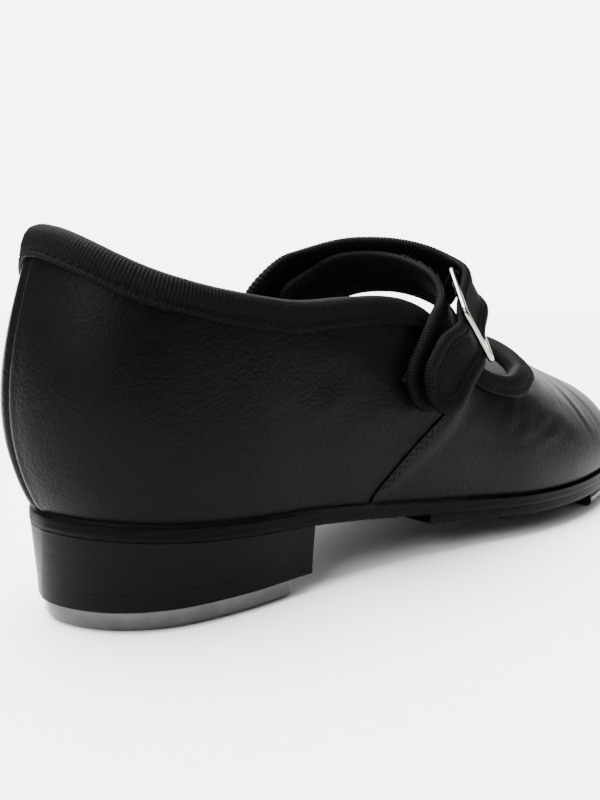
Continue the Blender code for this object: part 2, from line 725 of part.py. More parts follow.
def below(drop):
    """A height that follows the feather line at a distance below it."""
    return lambda x: feather_height(x) - drop


def flat(level):
    return lambda x: level


SOLE_TOP = GAP
SOLE_BOTTOM = SOLE_TOP + OUTSOLE_THICK
HALF_BOTTOM = SOLE_BOTTOM + GAP + HALF_SOLE_THICK


def with_hole(part, places, radius, low, high):
    """Cuts round holes down through a part, at (x, y) places in the layout."""
    for index, (x, y) in enumerate(places):
        bpy.ops.mesh.primitive_cylinder_add(
            vertices=20, radius=radius * MM, depth=(high - low) * MM,
            location=((x - ORIGIN_X) * MM, y * MM, (low + high) / 2 * MM))
        cutter = bpy.context.object
        cutter.name = f"{part.name}_hole_{index + 1}"
        for owner in list(cutter.users_collection):
            owner.objects.unlink(cutter)
        CUTTERS.objects.link(cutter)
        cutter.hide_render = True
        cutter.display_type = "WIRE"
        cut = part.modifiers.new(f"hole_{index + 1}", "BOOLEAN")
        cut.operation = "DIFFERENCE"
        cut.object = cutter


def screw(name, x, y, head, length, head_radius, shank_radius, head_up=False):
    """A countersunk screw, turned from its half profile, with its head at a height."""
    profile = [(0, length), (shank_radius * 0.4, length), (shank_radius, length - 2),
               (shank_radius, 1.6), (head_radius, 0.3), (head_radius, 0), (0.9, 0), (0.9, 0.5), (0, 0.5)]
    mesh = bpy.data.meshes.new(name)
    edges = [(i, i + 1) for i in range(len(profile) - 1)]
    mesh.from_pydata([(r * MM, 0, z * MM) for r, z in profile], edges, [])
    made = bpy.data.objects.new(name, mesh)
    mesh.materials.append(SPRING_STEEL)
    SHOE.objects.link(made)
    made.parent = BASE
    made.location = (x * MM, y * MM, head * MM)
    made.rotation_euler = (math.pi if head_up else 0, 0, 0)
    turn = made.modifiers.new("turn", "SCREW")
    turn.steps = turn.render_steps = 12
    turn.use_merge_vertices = True
    turn.merge_threshold = 1e-5
    return made


HEEL_SCREWS = [(8, 0), (36, -15), (36, 15)]
TOE_SCREWS = [(194, -17), (194, 20), (229, 2)]
FIXING = (22, 0)
TAP_HOLE_RADIUS = 3.4
SCREW_HEAD_RADIUS = 3.0


def build_heel():
    tap = HEEL_TAP_THICK
    taper = 0.4
    plate("heel_tap", [(3.8, flat(0)), (2.4, flat(0.5)), (1.7, flat(1.4)), (1.4, flat(tap - 0.6)),
                       (1.6, flat(tap))], 0, HEEL_TAP_LENGTH, TAP_ALLOY, stations=22,
          round_end=False)
    plate("heel_top_piece", [(taper, flat(tap + GAP)), (taper / 2, flat(tap + TOP_PIECE_THICK))],
          0, HEEL_LENGTH, BLACK_RUBBER, stations=24, round_end=False)
    plate("heel_block", [(taper / 2, flat(tap + TOP_PIECE_THICK + GAP)),
                         (-0.7, below(SOLE_BOTTOM + GAP))], 0, HEEL_LENGTH, HEEL_STACK, stations=24,
          round_end=False)
    parts = bpy.data.objects
    with_hole(parts["heel_tap"], HEEL_SCREWS, TAP_HOLE_RADIUS, -2, tap + 1)
    with_hole(parts["heel_top_piece"], HEEL_SCREWS, 1.9, tap - 1, tap + TOP_PIECE_THICK + 1)
    with_hole(parts["heel_block"], HEEL_SCREWS, 1.9, tap + 2, tap + 10)
    for index, (x, y) in enumerate(HEEL_SCREWS):
        screw(f"heel_tap_screw_{index + 1}", x, y, 0.6, 13.2, SCREW_HEAD_RADIUS, 1.5)
    with_hole(parts["heel_block"], [FIXING], 2.4, 10.4, 30)


def build_sole():
    parts = bpy.data.objects
    plate("outsole", [(-0.6, below(SOLE_BOTTOM)), (-0.9, below(SOLE_BOTTOM - 1)),
                      (-0.8, below(SOLE_TOP))], 0, 300, BLACK_SOLE, stations=44)
    with_hole(parts["outsole"], [FIXING], 2.4, 15, 30)
    plate("half_sole", [(-0.4, below(HALF_BOTTOM)), (-0.7, below(HALF_BOTTOM - 1.2)),
                        (-0.6, below(SOLE_BOTTOM + GAP))], HALF_SOLE_START, 300, BLACK_SOLE,
          stations=30, round_start=False)
    plate("toe_tap_board", [(2.6, toe_plane(TOE_TAP_THICK + GAP)), (2.0, below(HALF_BOTTOM + GAP))],
          TOE_TAP_START, 300, BLACK_RUBBER, stations=22, round_start=False)
    plate("toe_tap", [(4.6, toe_plane(0)), (3.4, toe_plane(0.6)), (3.0, toe_plane(1.4)),
                      (3.0, toe_plane(TOE_TAP_THICK))], TOE_TAP_START + 3, 300, TAP_ALLOY,
          stations=22, round_start=False)
    plate("rubber_pad", [(4.0, below(HALF_BOTTOM + GAP + 1.6)), (3.6, below(HALF_BOTTOM + GAP))],
          RUBBER_START, TOE_TAP_START - 1.5, BLACK_RUBBER, stations=14,
          round_start=False, round_end=False)
    with_hole(parts["toe_tap"], TOE_SCREWS, TAP_HOLE_RADIUS, -3, 14)
    with_hole(parts["toe_tap_board"], TOE_SCREWS, 1.9, -3, 20)
    with_hole(parts["half_sole"], TOE_SCREWS, 1.9, 2, 24)
    for index, (x, y) in enumerate(TOE_SCREWS):
        screw(f"toe_tap_screw_{index + 1}", x, y, toe_plane(0.6)(x), 8.6, SCREW_HEAD_RADIUS, 1.5)


def toe_plane(rise):
    """The toe tap's underside: it stands on the floor at its back edge and follows the toe spring."""
    spring_start = 196.0

    def height(x):
        beyond = max(x - spring_start, 0)
        return rise + beyond * beyond * 0.0019
    return height


def build_inside():
    """Shank and cork under the insole board, the board, its sock and the screw into the heel."""
    parts = bpy.data.objects
    inner = VAMP_LINING_DEPTH + LINING + 4 * GAP
    plate("insole_board", [(inner, below(-BOARD_LIFT)), (inner, below(-BOARD_LIFT - 1.6))], 0, 300,
          STIFF_FIBRE, stations=30, across=2)
    plate("sock_liner", [(inner + 0.4, below(-BOARD_LIFT - 1.9)), (inner + 0.4, below(-BOARD_LIFT - 2.9))],
          0, 300, GREY_LINING, stations=30, across=2)
    plate("bottom_filler", [(9, below(-0.1)), (9, below(-BOARD_LIFT + GAP))], 112, 205, CORK,
          stations=12, across=2, round_start=False, round_end=False)
    plate("shank", [(21, below(-0.1)), (21, below(-1.1))], 32, 106, SPRING_STEEL,
          stations=10, across=2, round_start=False, round_end=False)
    x, y = FIXING
    head = feather_height(x) + BOARD_LIFT + 1.4
    with_hole(parts["insole_board"], [FIXING], TAP_HOLE_RADIUS, 15, 40)
    screw("heel_fixing_screw", x, y, head, 15, SCREW_HEAD_RADIUS, 2.0, head_up=True)


def build():
    build_upper()
    build_binding()
    build_sole()
    build_heel()
    build_inside()
    build_strap()


build()
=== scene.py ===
"""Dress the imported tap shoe: leather upper, grosgrain tape, strap and ring, stacked heel and metal taps.

The shoe stands on its taps with the toe along +X and the outer side along -Y. The upper is drawn on
the same last as the solid model: lengths inside this script are millimetres, counted from the back of
the heel, and become metres of the shared frame when a mesh is made.
"""

import json
import logging
import math
from dataclasses import dataclass, field
from enum import Enum
from typing import Callable, Sequence

import bpy
import numpy as np
from mathutils import Vector
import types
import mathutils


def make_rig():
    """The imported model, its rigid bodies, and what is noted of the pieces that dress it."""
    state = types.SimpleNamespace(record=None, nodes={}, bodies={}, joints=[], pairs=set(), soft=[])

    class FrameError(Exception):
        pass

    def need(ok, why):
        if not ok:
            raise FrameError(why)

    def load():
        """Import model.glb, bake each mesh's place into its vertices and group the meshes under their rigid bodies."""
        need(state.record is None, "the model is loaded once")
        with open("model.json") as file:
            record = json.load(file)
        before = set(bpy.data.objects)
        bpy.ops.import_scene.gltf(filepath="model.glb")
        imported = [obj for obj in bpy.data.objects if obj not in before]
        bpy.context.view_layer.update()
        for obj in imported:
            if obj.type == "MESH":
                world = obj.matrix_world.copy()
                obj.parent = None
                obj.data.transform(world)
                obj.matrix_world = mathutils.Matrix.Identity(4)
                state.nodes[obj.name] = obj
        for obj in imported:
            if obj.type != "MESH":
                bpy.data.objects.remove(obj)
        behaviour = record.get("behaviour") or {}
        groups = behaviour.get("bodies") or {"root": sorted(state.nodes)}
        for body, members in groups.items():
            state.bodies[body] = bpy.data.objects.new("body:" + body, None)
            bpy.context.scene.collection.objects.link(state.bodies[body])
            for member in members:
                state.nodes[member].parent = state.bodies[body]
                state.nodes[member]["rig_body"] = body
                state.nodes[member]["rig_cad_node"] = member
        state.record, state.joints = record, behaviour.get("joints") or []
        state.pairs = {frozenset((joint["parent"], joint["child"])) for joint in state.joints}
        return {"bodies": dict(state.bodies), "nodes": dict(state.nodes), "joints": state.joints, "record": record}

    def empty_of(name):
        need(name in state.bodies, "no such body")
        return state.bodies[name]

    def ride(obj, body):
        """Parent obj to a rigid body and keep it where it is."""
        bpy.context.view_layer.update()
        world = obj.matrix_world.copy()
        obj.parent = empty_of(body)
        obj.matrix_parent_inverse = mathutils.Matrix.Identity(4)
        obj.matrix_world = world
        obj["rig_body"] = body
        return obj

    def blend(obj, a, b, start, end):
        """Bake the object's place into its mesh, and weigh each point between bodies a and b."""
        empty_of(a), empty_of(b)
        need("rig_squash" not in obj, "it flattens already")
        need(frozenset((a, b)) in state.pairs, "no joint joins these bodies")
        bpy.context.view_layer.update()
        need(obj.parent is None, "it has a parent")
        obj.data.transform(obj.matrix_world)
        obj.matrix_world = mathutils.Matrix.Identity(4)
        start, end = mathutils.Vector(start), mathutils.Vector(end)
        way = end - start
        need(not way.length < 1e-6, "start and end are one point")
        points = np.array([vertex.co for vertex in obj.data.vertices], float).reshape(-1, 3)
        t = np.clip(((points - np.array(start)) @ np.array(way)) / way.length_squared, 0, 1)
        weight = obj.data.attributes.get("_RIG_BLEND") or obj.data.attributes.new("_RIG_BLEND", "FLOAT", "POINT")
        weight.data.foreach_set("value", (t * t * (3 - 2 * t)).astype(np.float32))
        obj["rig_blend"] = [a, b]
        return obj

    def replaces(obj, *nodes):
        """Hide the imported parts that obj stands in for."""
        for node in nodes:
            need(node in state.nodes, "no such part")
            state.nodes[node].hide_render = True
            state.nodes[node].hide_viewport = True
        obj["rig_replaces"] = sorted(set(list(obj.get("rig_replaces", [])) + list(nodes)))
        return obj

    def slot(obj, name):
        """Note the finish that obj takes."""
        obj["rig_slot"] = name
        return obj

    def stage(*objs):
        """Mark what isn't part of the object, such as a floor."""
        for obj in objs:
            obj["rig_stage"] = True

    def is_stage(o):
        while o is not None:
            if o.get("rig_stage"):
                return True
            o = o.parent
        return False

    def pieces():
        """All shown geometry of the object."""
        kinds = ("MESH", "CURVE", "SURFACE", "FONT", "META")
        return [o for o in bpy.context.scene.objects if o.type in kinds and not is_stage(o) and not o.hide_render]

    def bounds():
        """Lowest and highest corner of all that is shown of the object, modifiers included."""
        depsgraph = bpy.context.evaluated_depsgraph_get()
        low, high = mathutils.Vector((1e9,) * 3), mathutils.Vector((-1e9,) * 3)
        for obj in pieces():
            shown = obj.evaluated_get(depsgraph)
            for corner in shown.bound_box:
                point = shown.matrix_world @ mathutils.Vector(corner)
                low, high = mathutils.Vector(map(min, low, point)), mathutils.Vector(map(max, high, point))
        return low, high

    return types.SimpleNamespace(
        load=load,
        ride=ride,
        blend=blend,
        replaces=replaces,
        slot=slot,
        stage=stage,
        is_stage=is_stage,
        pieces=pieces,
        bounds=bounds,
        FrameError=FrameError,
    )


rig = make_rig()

logging.basicConfig(level=logging.INFO, format="%(message)s")
LOG = logging.getLogger("tap_shoe")

MM = 0.001
FRAME_SHIFT = np.array([-27.0, 0.0, 0.0])
LATERAL, MEDIAL = -1, 1
SIZE_FILE = "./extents.json"
Rows = Sequence[tuple[float, ...]]
Piece = bpy.types.Object
Socket = bpy.types.NodeSocket


# ---- smooth curves ----

def unit(vectors: np.ndarray) -> np.ndarray:
    """Scale a vector, or each row of an array of them, to length one."""
    length = np.linalg.norm(vectors, axis=-1, keepdims=True)
    return vectors / np.maximum(length, 1e-9)


def through(rows: Rows) -> Callable[[float], float]:
    """Make a smooth function through (place, value) rows.

    Args:
        rows: places in rising order, each with its value.

    Returns:
        A function of place, held at its ends.
    """
    places = np.array([row[0] for row in rows], float)
    values = np.array([row[1] for row in rows], float)
    steps = np.diff(places)
    slopes = np.diff(values) / steps
    tangents = np.empty(len(places))
    tangents[1:-1] = (slopes[:-1] * steps[1:] + slopes[1:] * steps[:-1]) / (steps[1:] + steps[:-1])
    tangents[0], tangents[-1] = slopes[0], slopes[-1]

    def value(place: float) -> float:
        """Read the curve at a place."""
        x = min(max(place, places[0]), places[-1])
        i = min(int(np.searchsorted(places, x, side="right")) - 1, len(steps) - 1)
        t = (x - places[i]) / steps[i]
        start = (1 + 2 * t) * (1 - t) ** 2 * values[i] + t * t * (3 - 2 * t) * values[i + 1]
        return start + steps[i] * (t * (1 - t) ** 2 * tangents[i] - t * t * (1 - t) * tangents[i + 1])

    return value


def path_through(points: Sequence[Sequence[float]], samples: int, closed: bool = False) -> np.ndarray:
    """Space points evenly on a smooth curve through the given ones.

    Args:
        points: rows of any number of coordinates; the first three are the place.
        samples: how many points to return.
        closed: whether the curve comes home to its first point.

    Returns:
        An array of samples rows.
    """
    rows = [np.array(point, float) for point in points]
    if closed:
        rows.append(rows[0])
    spans = [np.linalg.norm(b - a) ** 0.75 for a, b in zip(rows, rows[1:])]
    place = np.concatenate([[0], np.cumsum(spans)])
    if closed:
        rows = [rows[-3], rows[-2]] + rows + [rows[1], rows[2]]
        place = np.concatenate([[-spans[-1] - spans[-2], -spans[-1]], place,
                                [place[-1] + spans[0], place[-1] + spans[0] + spans[1]]])
        first, last = place[2], place[-3]
    else:
        first, last = place[0], place[-1]
    axes = [through(list(zip(place, [row[k] for row in rows]))) for k in range(len(rows[0]))]
    fine = np.array([[axis(t) for axis in axes] for t in np.linspace(first, last, 12 * len(points))])
    run = np.concatenate([[0], np.cumsum(np.linalg.norm(np.diff(fine[:, :3], axis=0), axis=1))])
    even = np.linspace(0, run[-1], samples)
    return np.stack([np.interp(even, run, fine[:, k]) for k in range(fine.shape[1])], axis=1)


# ---- the last that the upper is drawn on ----

@dataclass
class Last:
    """The form of the shoe: a feather line in plan and sections that rise from it to a ridge."""

    length: float = 245.0
    ridge_first: float = 30.0
    ridge_last: float = 214.0
    throat_back: float = 146.0
    throat_front: float = 164.0
    heel_curve: float = 2.9
    outline: Rows = (
        (0.5, 0), (5.5, -13.5), (17, -23.2), (34, -27.6), (56, -28.4), (84, -30), (111, -34.8),
        (137, -40.8), (160, -42.6), (185, -40), (209, -32.6), (229, -20.5), (241.5, -7), (244.5, 4),
        (239, 16.5), (223, 28), (200, 35.5), (175, 38), (150, 35.5), (122, 29.5), (95, 26),
        (70, 26.5), (50, 27.8), (32, 27.2), (17, 23), (5.5, 13.5))
    feather_rows: Rows = ((0, 25), (28, 22.4), (56, 20.4), (84, 17.2), (112, 14.6), (140, 13),
                          (168, 13.2), (200, 15), (225, 17.4), (245, 20))
    ridge_rows: Rows = ((30, 136), (60, 115), (80, 101), (100, 88), (120, 78), (140, 69), (160, 61.5),
                        (175, 56), (190, 50.5), (205, 45.5), (214, 42))
    ridge_side_rows: Rows = ((30, 0), (90, 0), (140, 4), (190, 6), (214, 5))
    square_outer: Rows = ((30, 2.3), (60, 2.3), (95, 2.5), (120, 2.1), (150, 1.75), (185, 1.6), (214, 1.8))
    square_inner: Rows = ((30, 2.3), (60, 2.3), (95, 2.5), (120, 2.4), (150, 2.3), (185, 2.2), (214, 2.1))
    swell_rows: Rows = ((0, 3.4), (20, 3), (50, 2.6), (90, 4), (130, 2.6), (180, 1.6), (245, 1.4))
    top_outer: Rows = ((0, 85.5), (8, 80), (15, 76), (24, 73), (36, 70.8), (52, 69.4), (66, 70.4), (80, 71),
                       (89, 70), (96, 67.5), (102, 62.8), (109, 56.5), (119, 50.6), (131, 48), (146, 50))
    top_inner: Rows = ((0, 85.5), (8, 80), (15, 76), (24, 73), (36, 70.8), (52, 69.4), (66, 69.8),
                       (80, 69), (92, 66.5), (104, 62), (118, 57.5), (131, 55), (146, 55))
    seam_rows: Rows = ((20, 74), (26, 83), (35, 96), (42, 103), (50, 108.5), (60, 113))

    def __post_init__(self) -> None:
        """Make the smooth curves from the rows."""
        self.loop = path_through(self.outline, 721, closed=True)
        self.toe_index = int(np.argmax(self.loop[:, 0]))
        self.feather = through(self.feather_rows)
        self.ridge = through(self.ridge_rows)
        self.ridge_side = through(self.ridge_side_rows)
        self.square = {LATERAL: through(self.square_outer), MEDIAL: through(self.square_inner)}
        self.swell = through(self.swell_rows)
        self.top = {LATERAL: through(self.top_outer), MEDIAL: through(self.top_inner)}
        self.seam = through(self.seam_rows)

    def half(self, side: int) -> np.ndarray:
        """Return the feather line's points from heel to toe on one side."""
        return self.loop[:self.toe_index + 1] if side == LATERAL else self.loop[self.toe_index:][::-1]

    def foot(self, side: int, share: float) -> np.ndarray:
        """Return the feather point at a share of one side's length from the heel."""
        half = self.half(side)
        place = min(max(share, 0), 1) * (len(half) - 1)
        i = min(int(place), len(half) - 2)
        return half[i] + (half[i + 1] - half[i]) * (place - i)

    def share_at(self, side: int, x: float) -> float:
        """Return the share of one side's feather line at which it reaches x."""
        half = self.half(side)
        return float(np.interp(x, half[:, 0], np.linspace(0, 1, len(half))))

    def ridge_place(self, x: float) -> float:
        """Return where the section through a feather point meets the ridge; they fan out at the ends."""
        start, end = 48.0, 188.0
        if x < start:
            return self.ridge_first + (start - self.ridge_first) * (x / start) ** 2
        if x > end:
            reach = self.length - end
            return self.ridge_last - (self.ridge_last - end) * (1 - min((x - end) / reach, 1)) ** 2
        return x

    def point(self, side: int, share: float, rise: float) -> np.ndarray:
        """Return a point of the outside of the upper, from rise 0 at the feather line to 1 at the ridge."""
        foot = self.foot(side, share)
        ridge_x = self.ridge_place(foot[0])
        ridge = np.array([ridge_x, self.ridge_side(ridge_x)])
        floor = self.feather(foot[0])
        power = self.square[side](ridge_x)
        across = max(1 - rise ** power, 0) ** (1 / power)
        height = rise * (self.ridge(ridge_x) - floor)
        reach = foot - ridge
        curve = self.heel_curve * math.exp(-(foot[0] / 20.0) ** 2) * math.sin(math.pi * height / 48.0)
        swelling = self.swell(foot[0]) * (1 - math.exp(-height / 9.0)) + curve
        bulge = swelling / max(np.linalg.norm(reach), 1)
        plan = ridge + reach * across * (1 + bulge)
        return np.array([plan[0], plan[1], floor + height])

    def top_rise(self, side: int, share: float, trim: float = 0.0) -> float:
        """Return the rise at which an edge, a trim below the top line, crosses this section."""
        foot = self.foot(side, share)
        ridge_x = self.ridge_place(foot[0])
        front = self.throat_front + trim
        if ridge_x >= front:
            return 1.0
        floor = self.feather(foot[0])
        rise = (self.top[side](foot[0]) - trim - floor) / (self.ridge(ridge_x) - floor)
        if ridge_x > self.throat_back:
            turn = (ridge_x - self.throat_back) / (front - self.throat_back)
            power = self.square[side](ridge_x)
            width = max(1 - rise ** power, 0) ** (1 / power) * math.sqrt(max(1 - turn ** 2.2, 0))
            rise = (1 - width ** power) ** (1 / power)
        return min(rise, 1.0)

    def frame_at(self, side: int, share: float, rise: float) -> tuple[np.ndarray, np.ndarray]:
        """Return a point on the upper and its outward normal."""
        step = 0.004
        here = self.point(side, share, rise)
        level = min(rise, 0.985)
        low, high = max(level - step, 0), level + step
        up = unit(self.point(side, share, high) - self.point(side, share, low))
        ahead = self.point(side, min(share + step, 1), level)
        along = unit(ahead - self.point(side, max(share - step, 0), level))
        return here, unit(np.cross(up, along)) * side

    def skin(self, side: int, share: float, rise: float, depth: float = 0.0) -> np.ndarray:
        """Return a point under (positive depth) or over the outside of the upper."""
        here, out = self.frame_at(side, share, rise)
        return here - out * depth

    def skin_at(self, x: float, z: float, side: int, proud: float = 0.0) -> np.ndarray:
        """Return the upper's point at a distance along the shoe and a height, standing proud of it."""
        floor = self.feather(x)
        rise = (z - floor) / (self.ridge(self.ridge_place(x)) - floor)
        return self.skin(side, self.share_at(side, x), rise, -proud)

    def seam_share(self, side: int, level: float, shift: float) -> float:
        """Return the share at which a quarter or the vamp ends, at a level of the wall."""
        x = 90.0
        for _ in range(12):
            share = self.share_at(side, x)
            floor = self.feather(x)
            height = floor + level * self.top_rise(side, share) * (self.ridge(self.ridge_place(x)) - floor)
            x = 0.5 * x + 0.5 * (self.seam(height) + shift)
        return self.share_at(side, x)

    def level_rise(self, side: int, share: float, level: float, trim: float) -> float:
        """Return the rise at a level, from 0 at the feather line to 1 at a trim below the top line."""
        power = self.square[side](self.ridge_place(self.foot(side, share)[0]))
        turn = math.asin(min(self.top_rise(side, share, trim), 1) ** (power / 2)) * level
        return math.sin(turn) ** (2 / power)


# ---- meshes ----

def alone(piece: Piece) -> None:
    """Select one piece and nothing else, and make it active."""
    bpy.ops.object.select_all(action="DESELECT")
    piece.select_set(True)
    bpy.context.view_layer.objects.active = piece


def in_edit_mode(piece: Piece, steps: Callable[[], None]) -> None:
    """Run mesh operators on all of a piece.

    Args:
        piece: the mesh to edit.
        steps: calls the operators.
    """
    alone(piece)
    bpy.ops.object.mode_set(mode="EDIT")
    bpy.ops.mesh.select_all(action="SELECT")
    steps()
    bpy.ops.object.mode_set(mode="OBJECT")


def apply_modifier(piece: Piece, kind: str, **settings: object) -> None:
    """Add one modifier to a piece, set it and apply it.

    Args:
        piece: the mesh.
        kind: Blender's name of the modifier's type.
        settings: values by attribute name.
    """
    alone(piece)
    made = piece.modifiers.new(kind.lower(), kind)
    for key, value in settings.items():
        setattr(made, key, value)
    bpy.ops.object.modifier_apply(modifier=made.name)


def read_points(piece: Piece) -> np.ndarray:
    """Return a mesh's points in layout millimetres."""
    flat = np.zeros(len(piece.data.vertices) * 3)
    piece.data.vertices.foreach_get("co", flat)
    return flat.reshape(-1, 3) / MM - FRAME_SHIFT


def write_points(piece: Piece, points: np.ndarray) -> None:
    """Move a mesh's points to places in layout millimetres."""
    piece.data.vertices.foreach_set("co", ((points + FRAME_SHIFT) * MM).ravel())
    piece.data.update()


def read_normals(piece: Piece) -> np.ndarray:
    """Return the normals of a mesh's points."""
    flat = np.zeros(len(piece.data.vertices) * 3)
    piece.data.vertices.foreach_get("normal", flat)
    return flat.reshape(-1, 3)


def grid_piece(name: str, places: np.ndarray, size: tuple[float, float] = (1.0, 1.0)) -> Piece:
    """Add a grid and lay its points on given places.

    Args:
        name: the piece's name.
        places: an array of columns by rows by 3, in layout millimetres.
        size: how much UV space, in metres, the columns and the rows span.

    Returns:
        The new sheet, its UV map in metres.
    """
    columns, rows = places.shape[0] - 1, places.shape[1] - 1
    bpy.ops.object.select_all(action="DESELECT")
    bpy.ops.mesh.primitive_grid_add(x_subdivisions=columns, y_subdivisions=rows, size=1, calc_uvs=True)
    piece = bpy.context.object
    piece.name = piece.data.name = name
    flat = np.zeros(len(piece.data.vertices) * 3)
    piece.data.vertices.foreach_get("co", flat)
    spots = flat.reshape(-1, 3) + 0.5
    column = np.rint(spots[:, 0] * columns).astype(int)
    row = np.rint(spots[:, 1] * rows).astype(int)
    write_points(piece, places[column, row])
    layer = piece.data.uv_layers[0].data
    uv = np.zeros(len(layer) * 2)
    layer.foreach_get("uv", uv)
    layer.foreach_set("uv", (uv.reshape(-1, 2) * np.array(size)).ravel())
    return piece


def place(x: float, y: float, z: float) -> tuple[float, float, float]:
    """Turn a place of the layout, in millimetres, into one of the frame, in metres."""
    return tuple(float(v) for v in (np.array((x, y, z)) + FRAME_SHIFT) * MM)


def face_out(piece: Piece, outwards: np.ndarray) -> None:
    """Flip an open sheet if its faces look against a direction or a field of directions.

    Args:
        piece: the sheet.
        outwards: one direction for each point, or one for all.
    """
    if float(np.sum(read_normals(piece) * outwards)) < 0:
        in_edit_mode(piece, bpy.ops.mesh.flip_normals)


def thicken(piece: Piece, thickness: float) -> None:
    """Give an open sheet a wall, in millimetres, behind its outer face."""
    apply_modifier(piece, "SOLIDIFY", thickness=thickness * MM, offset=-1.0, use_quality_normals=True)


def smooth(piece: Piece, angle: float = 40.0) -> None:
    """Shade a piece smooth but for edges sharper than an angle."""
    alone(piece)
    bpy.ops.object.shade_smooth_by_angle(angle=math.radians(angle))


def mesh_piece(name: str, verts: Sequence[np.ndarray], faces: Sequence[tuple[int, ...]]) -> Piece:
    """Add a mesh of many small closed shapes and turn their faces outwards.

    Args:
        name: the piece's name.
        verts: places in layout millimetres.
        faces: rings of indices into them.

    Returns:
        The new piece.
    """
    mesh = bpy.data.meshes.new(name)
    mesh.from_pydata([tuple((vert + FRAME_SHIFT) * MM) for vert in verts], [], faces)
    piece = bpy.data.objects.new(name, mesh)
    bpy.context.scene.collection.objects.link(piece)
    in_edit_mode(piece, lambda: bpy.ops.mesh.normals_make_consistent(inside=False))
    return piece


def tube_piece(name: str, rings: np.ndarray, size: tuple[float, float], closed: bool = False) -> Piece:
    """Wrap a grid into a tube through rings of points.

    Args:
        name: the piece's name.
        rings: an array of rings by points by 3; the last point of a ring isn't its first again.
        size: the UV map's span along and round the tube, in metres.
        closed: whether the last ring joins the first.

    Returns:
        The closed tube.
    """
    wrapped = np.concatenate([rings, rings[:, :1]], axis=1)
    if closed:
        wrapped = np.concatenate([wrapped, wrapped[:1]], axis=0)
    piece = grid_piece(name, wrapped, size)

    def cap() -> None:
        """Merge the seams and close the open ends."""
        bpy.ops.mesh.remove_doubles(threshold=1e-6)
        if not closed:
            bpy.ops.mesh.select_all(action="DESELECT")
            bpy.ops.mesh.select_non_manifold()
            bpy.ops.mesh.fill_holes(sides=0)
            bpy.ops.mesh.select_all(action="SELECT")
        bpy.ops.mesh.normals_make_consistent(inside=False)

    in_edit_mode(piece, cap)
    return piece


def from_node(node: str, name: str, levels: int = 2, crease_angle: float = 35.0) -> Piece:
    """Copy a solid of the frame and round it off.

    Args:
        node: the solid's name.
        name: the new piece's name.
        levels: how often its faces are divided.
        crease_angle: edges sharper than this, in degrees, stay crisp.

    Returns:
        The smoothed copy.
    """
    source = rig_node(node)
    piece = source.copy()
    piece.data = source.data.copy()
    piece.name = piece.data.name = name
    piece.parent = None
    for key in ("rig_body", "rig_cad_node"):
        if key in piece:
            del piece[key]
    bpy.context.scene.collection.objects.link(piece)

    def steps() -> None:
        """Merge the loose triangles, pair them up and mark the crisp edges."""
        bpy.ops.mesh.remove_doubles(threshold=2e-6)
        bpy.ops.mesh.tris_convert_to_quads(face_threshold=math.radians(40), shape_threshold=math.radians(60))
        bpy.ops.mesh.select_all(action="DESELECT")
        bpy.ops.mesh.edges_select_sharp(sharpness=math.radians(crease_angle))
        bpy.ops.transform.edge_crease(value=0.85)

    in_edit_mode(piece, steps)
    if levels:
        apply_modifier(piece, "SUBSURF", levels=levels, render_levels=levels)
    smooth(piece)
    return piece


NODES: dict[str, Piece] = {}


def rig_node(name: str) -> Piece:
    """Return a solid of the frame by name."""
    return NODES[name]


# ---- materials ----

class Pattern(Enum):
    """What a finish's surface shows close to."""

    GRAIN = "leather grain"
    RIBS = "grosgrain ribs"
    WEAVE = "woven cloth"
    PILE = "hook-and-loop pile"
    STACK = "stacked layers"
    SATIN = "tumbled metal"
    POLISH = "polished metal"
    MATTE = "moulded or pressed board"


@dataclass(frozen=True)
class Finish:
    """One finish: its colour, how it shines and the fine surface that it shows."""

    name: str
    slot: str
    pattern: Pattern
    dark: tuple[float, float, float]
    light: tuple[float, float, float]
    roughness: tuple[float, float]
    metallic: float = 0.0
    scale: float = 1.0
    relief: float = 0.3
    specular: float = 0.5


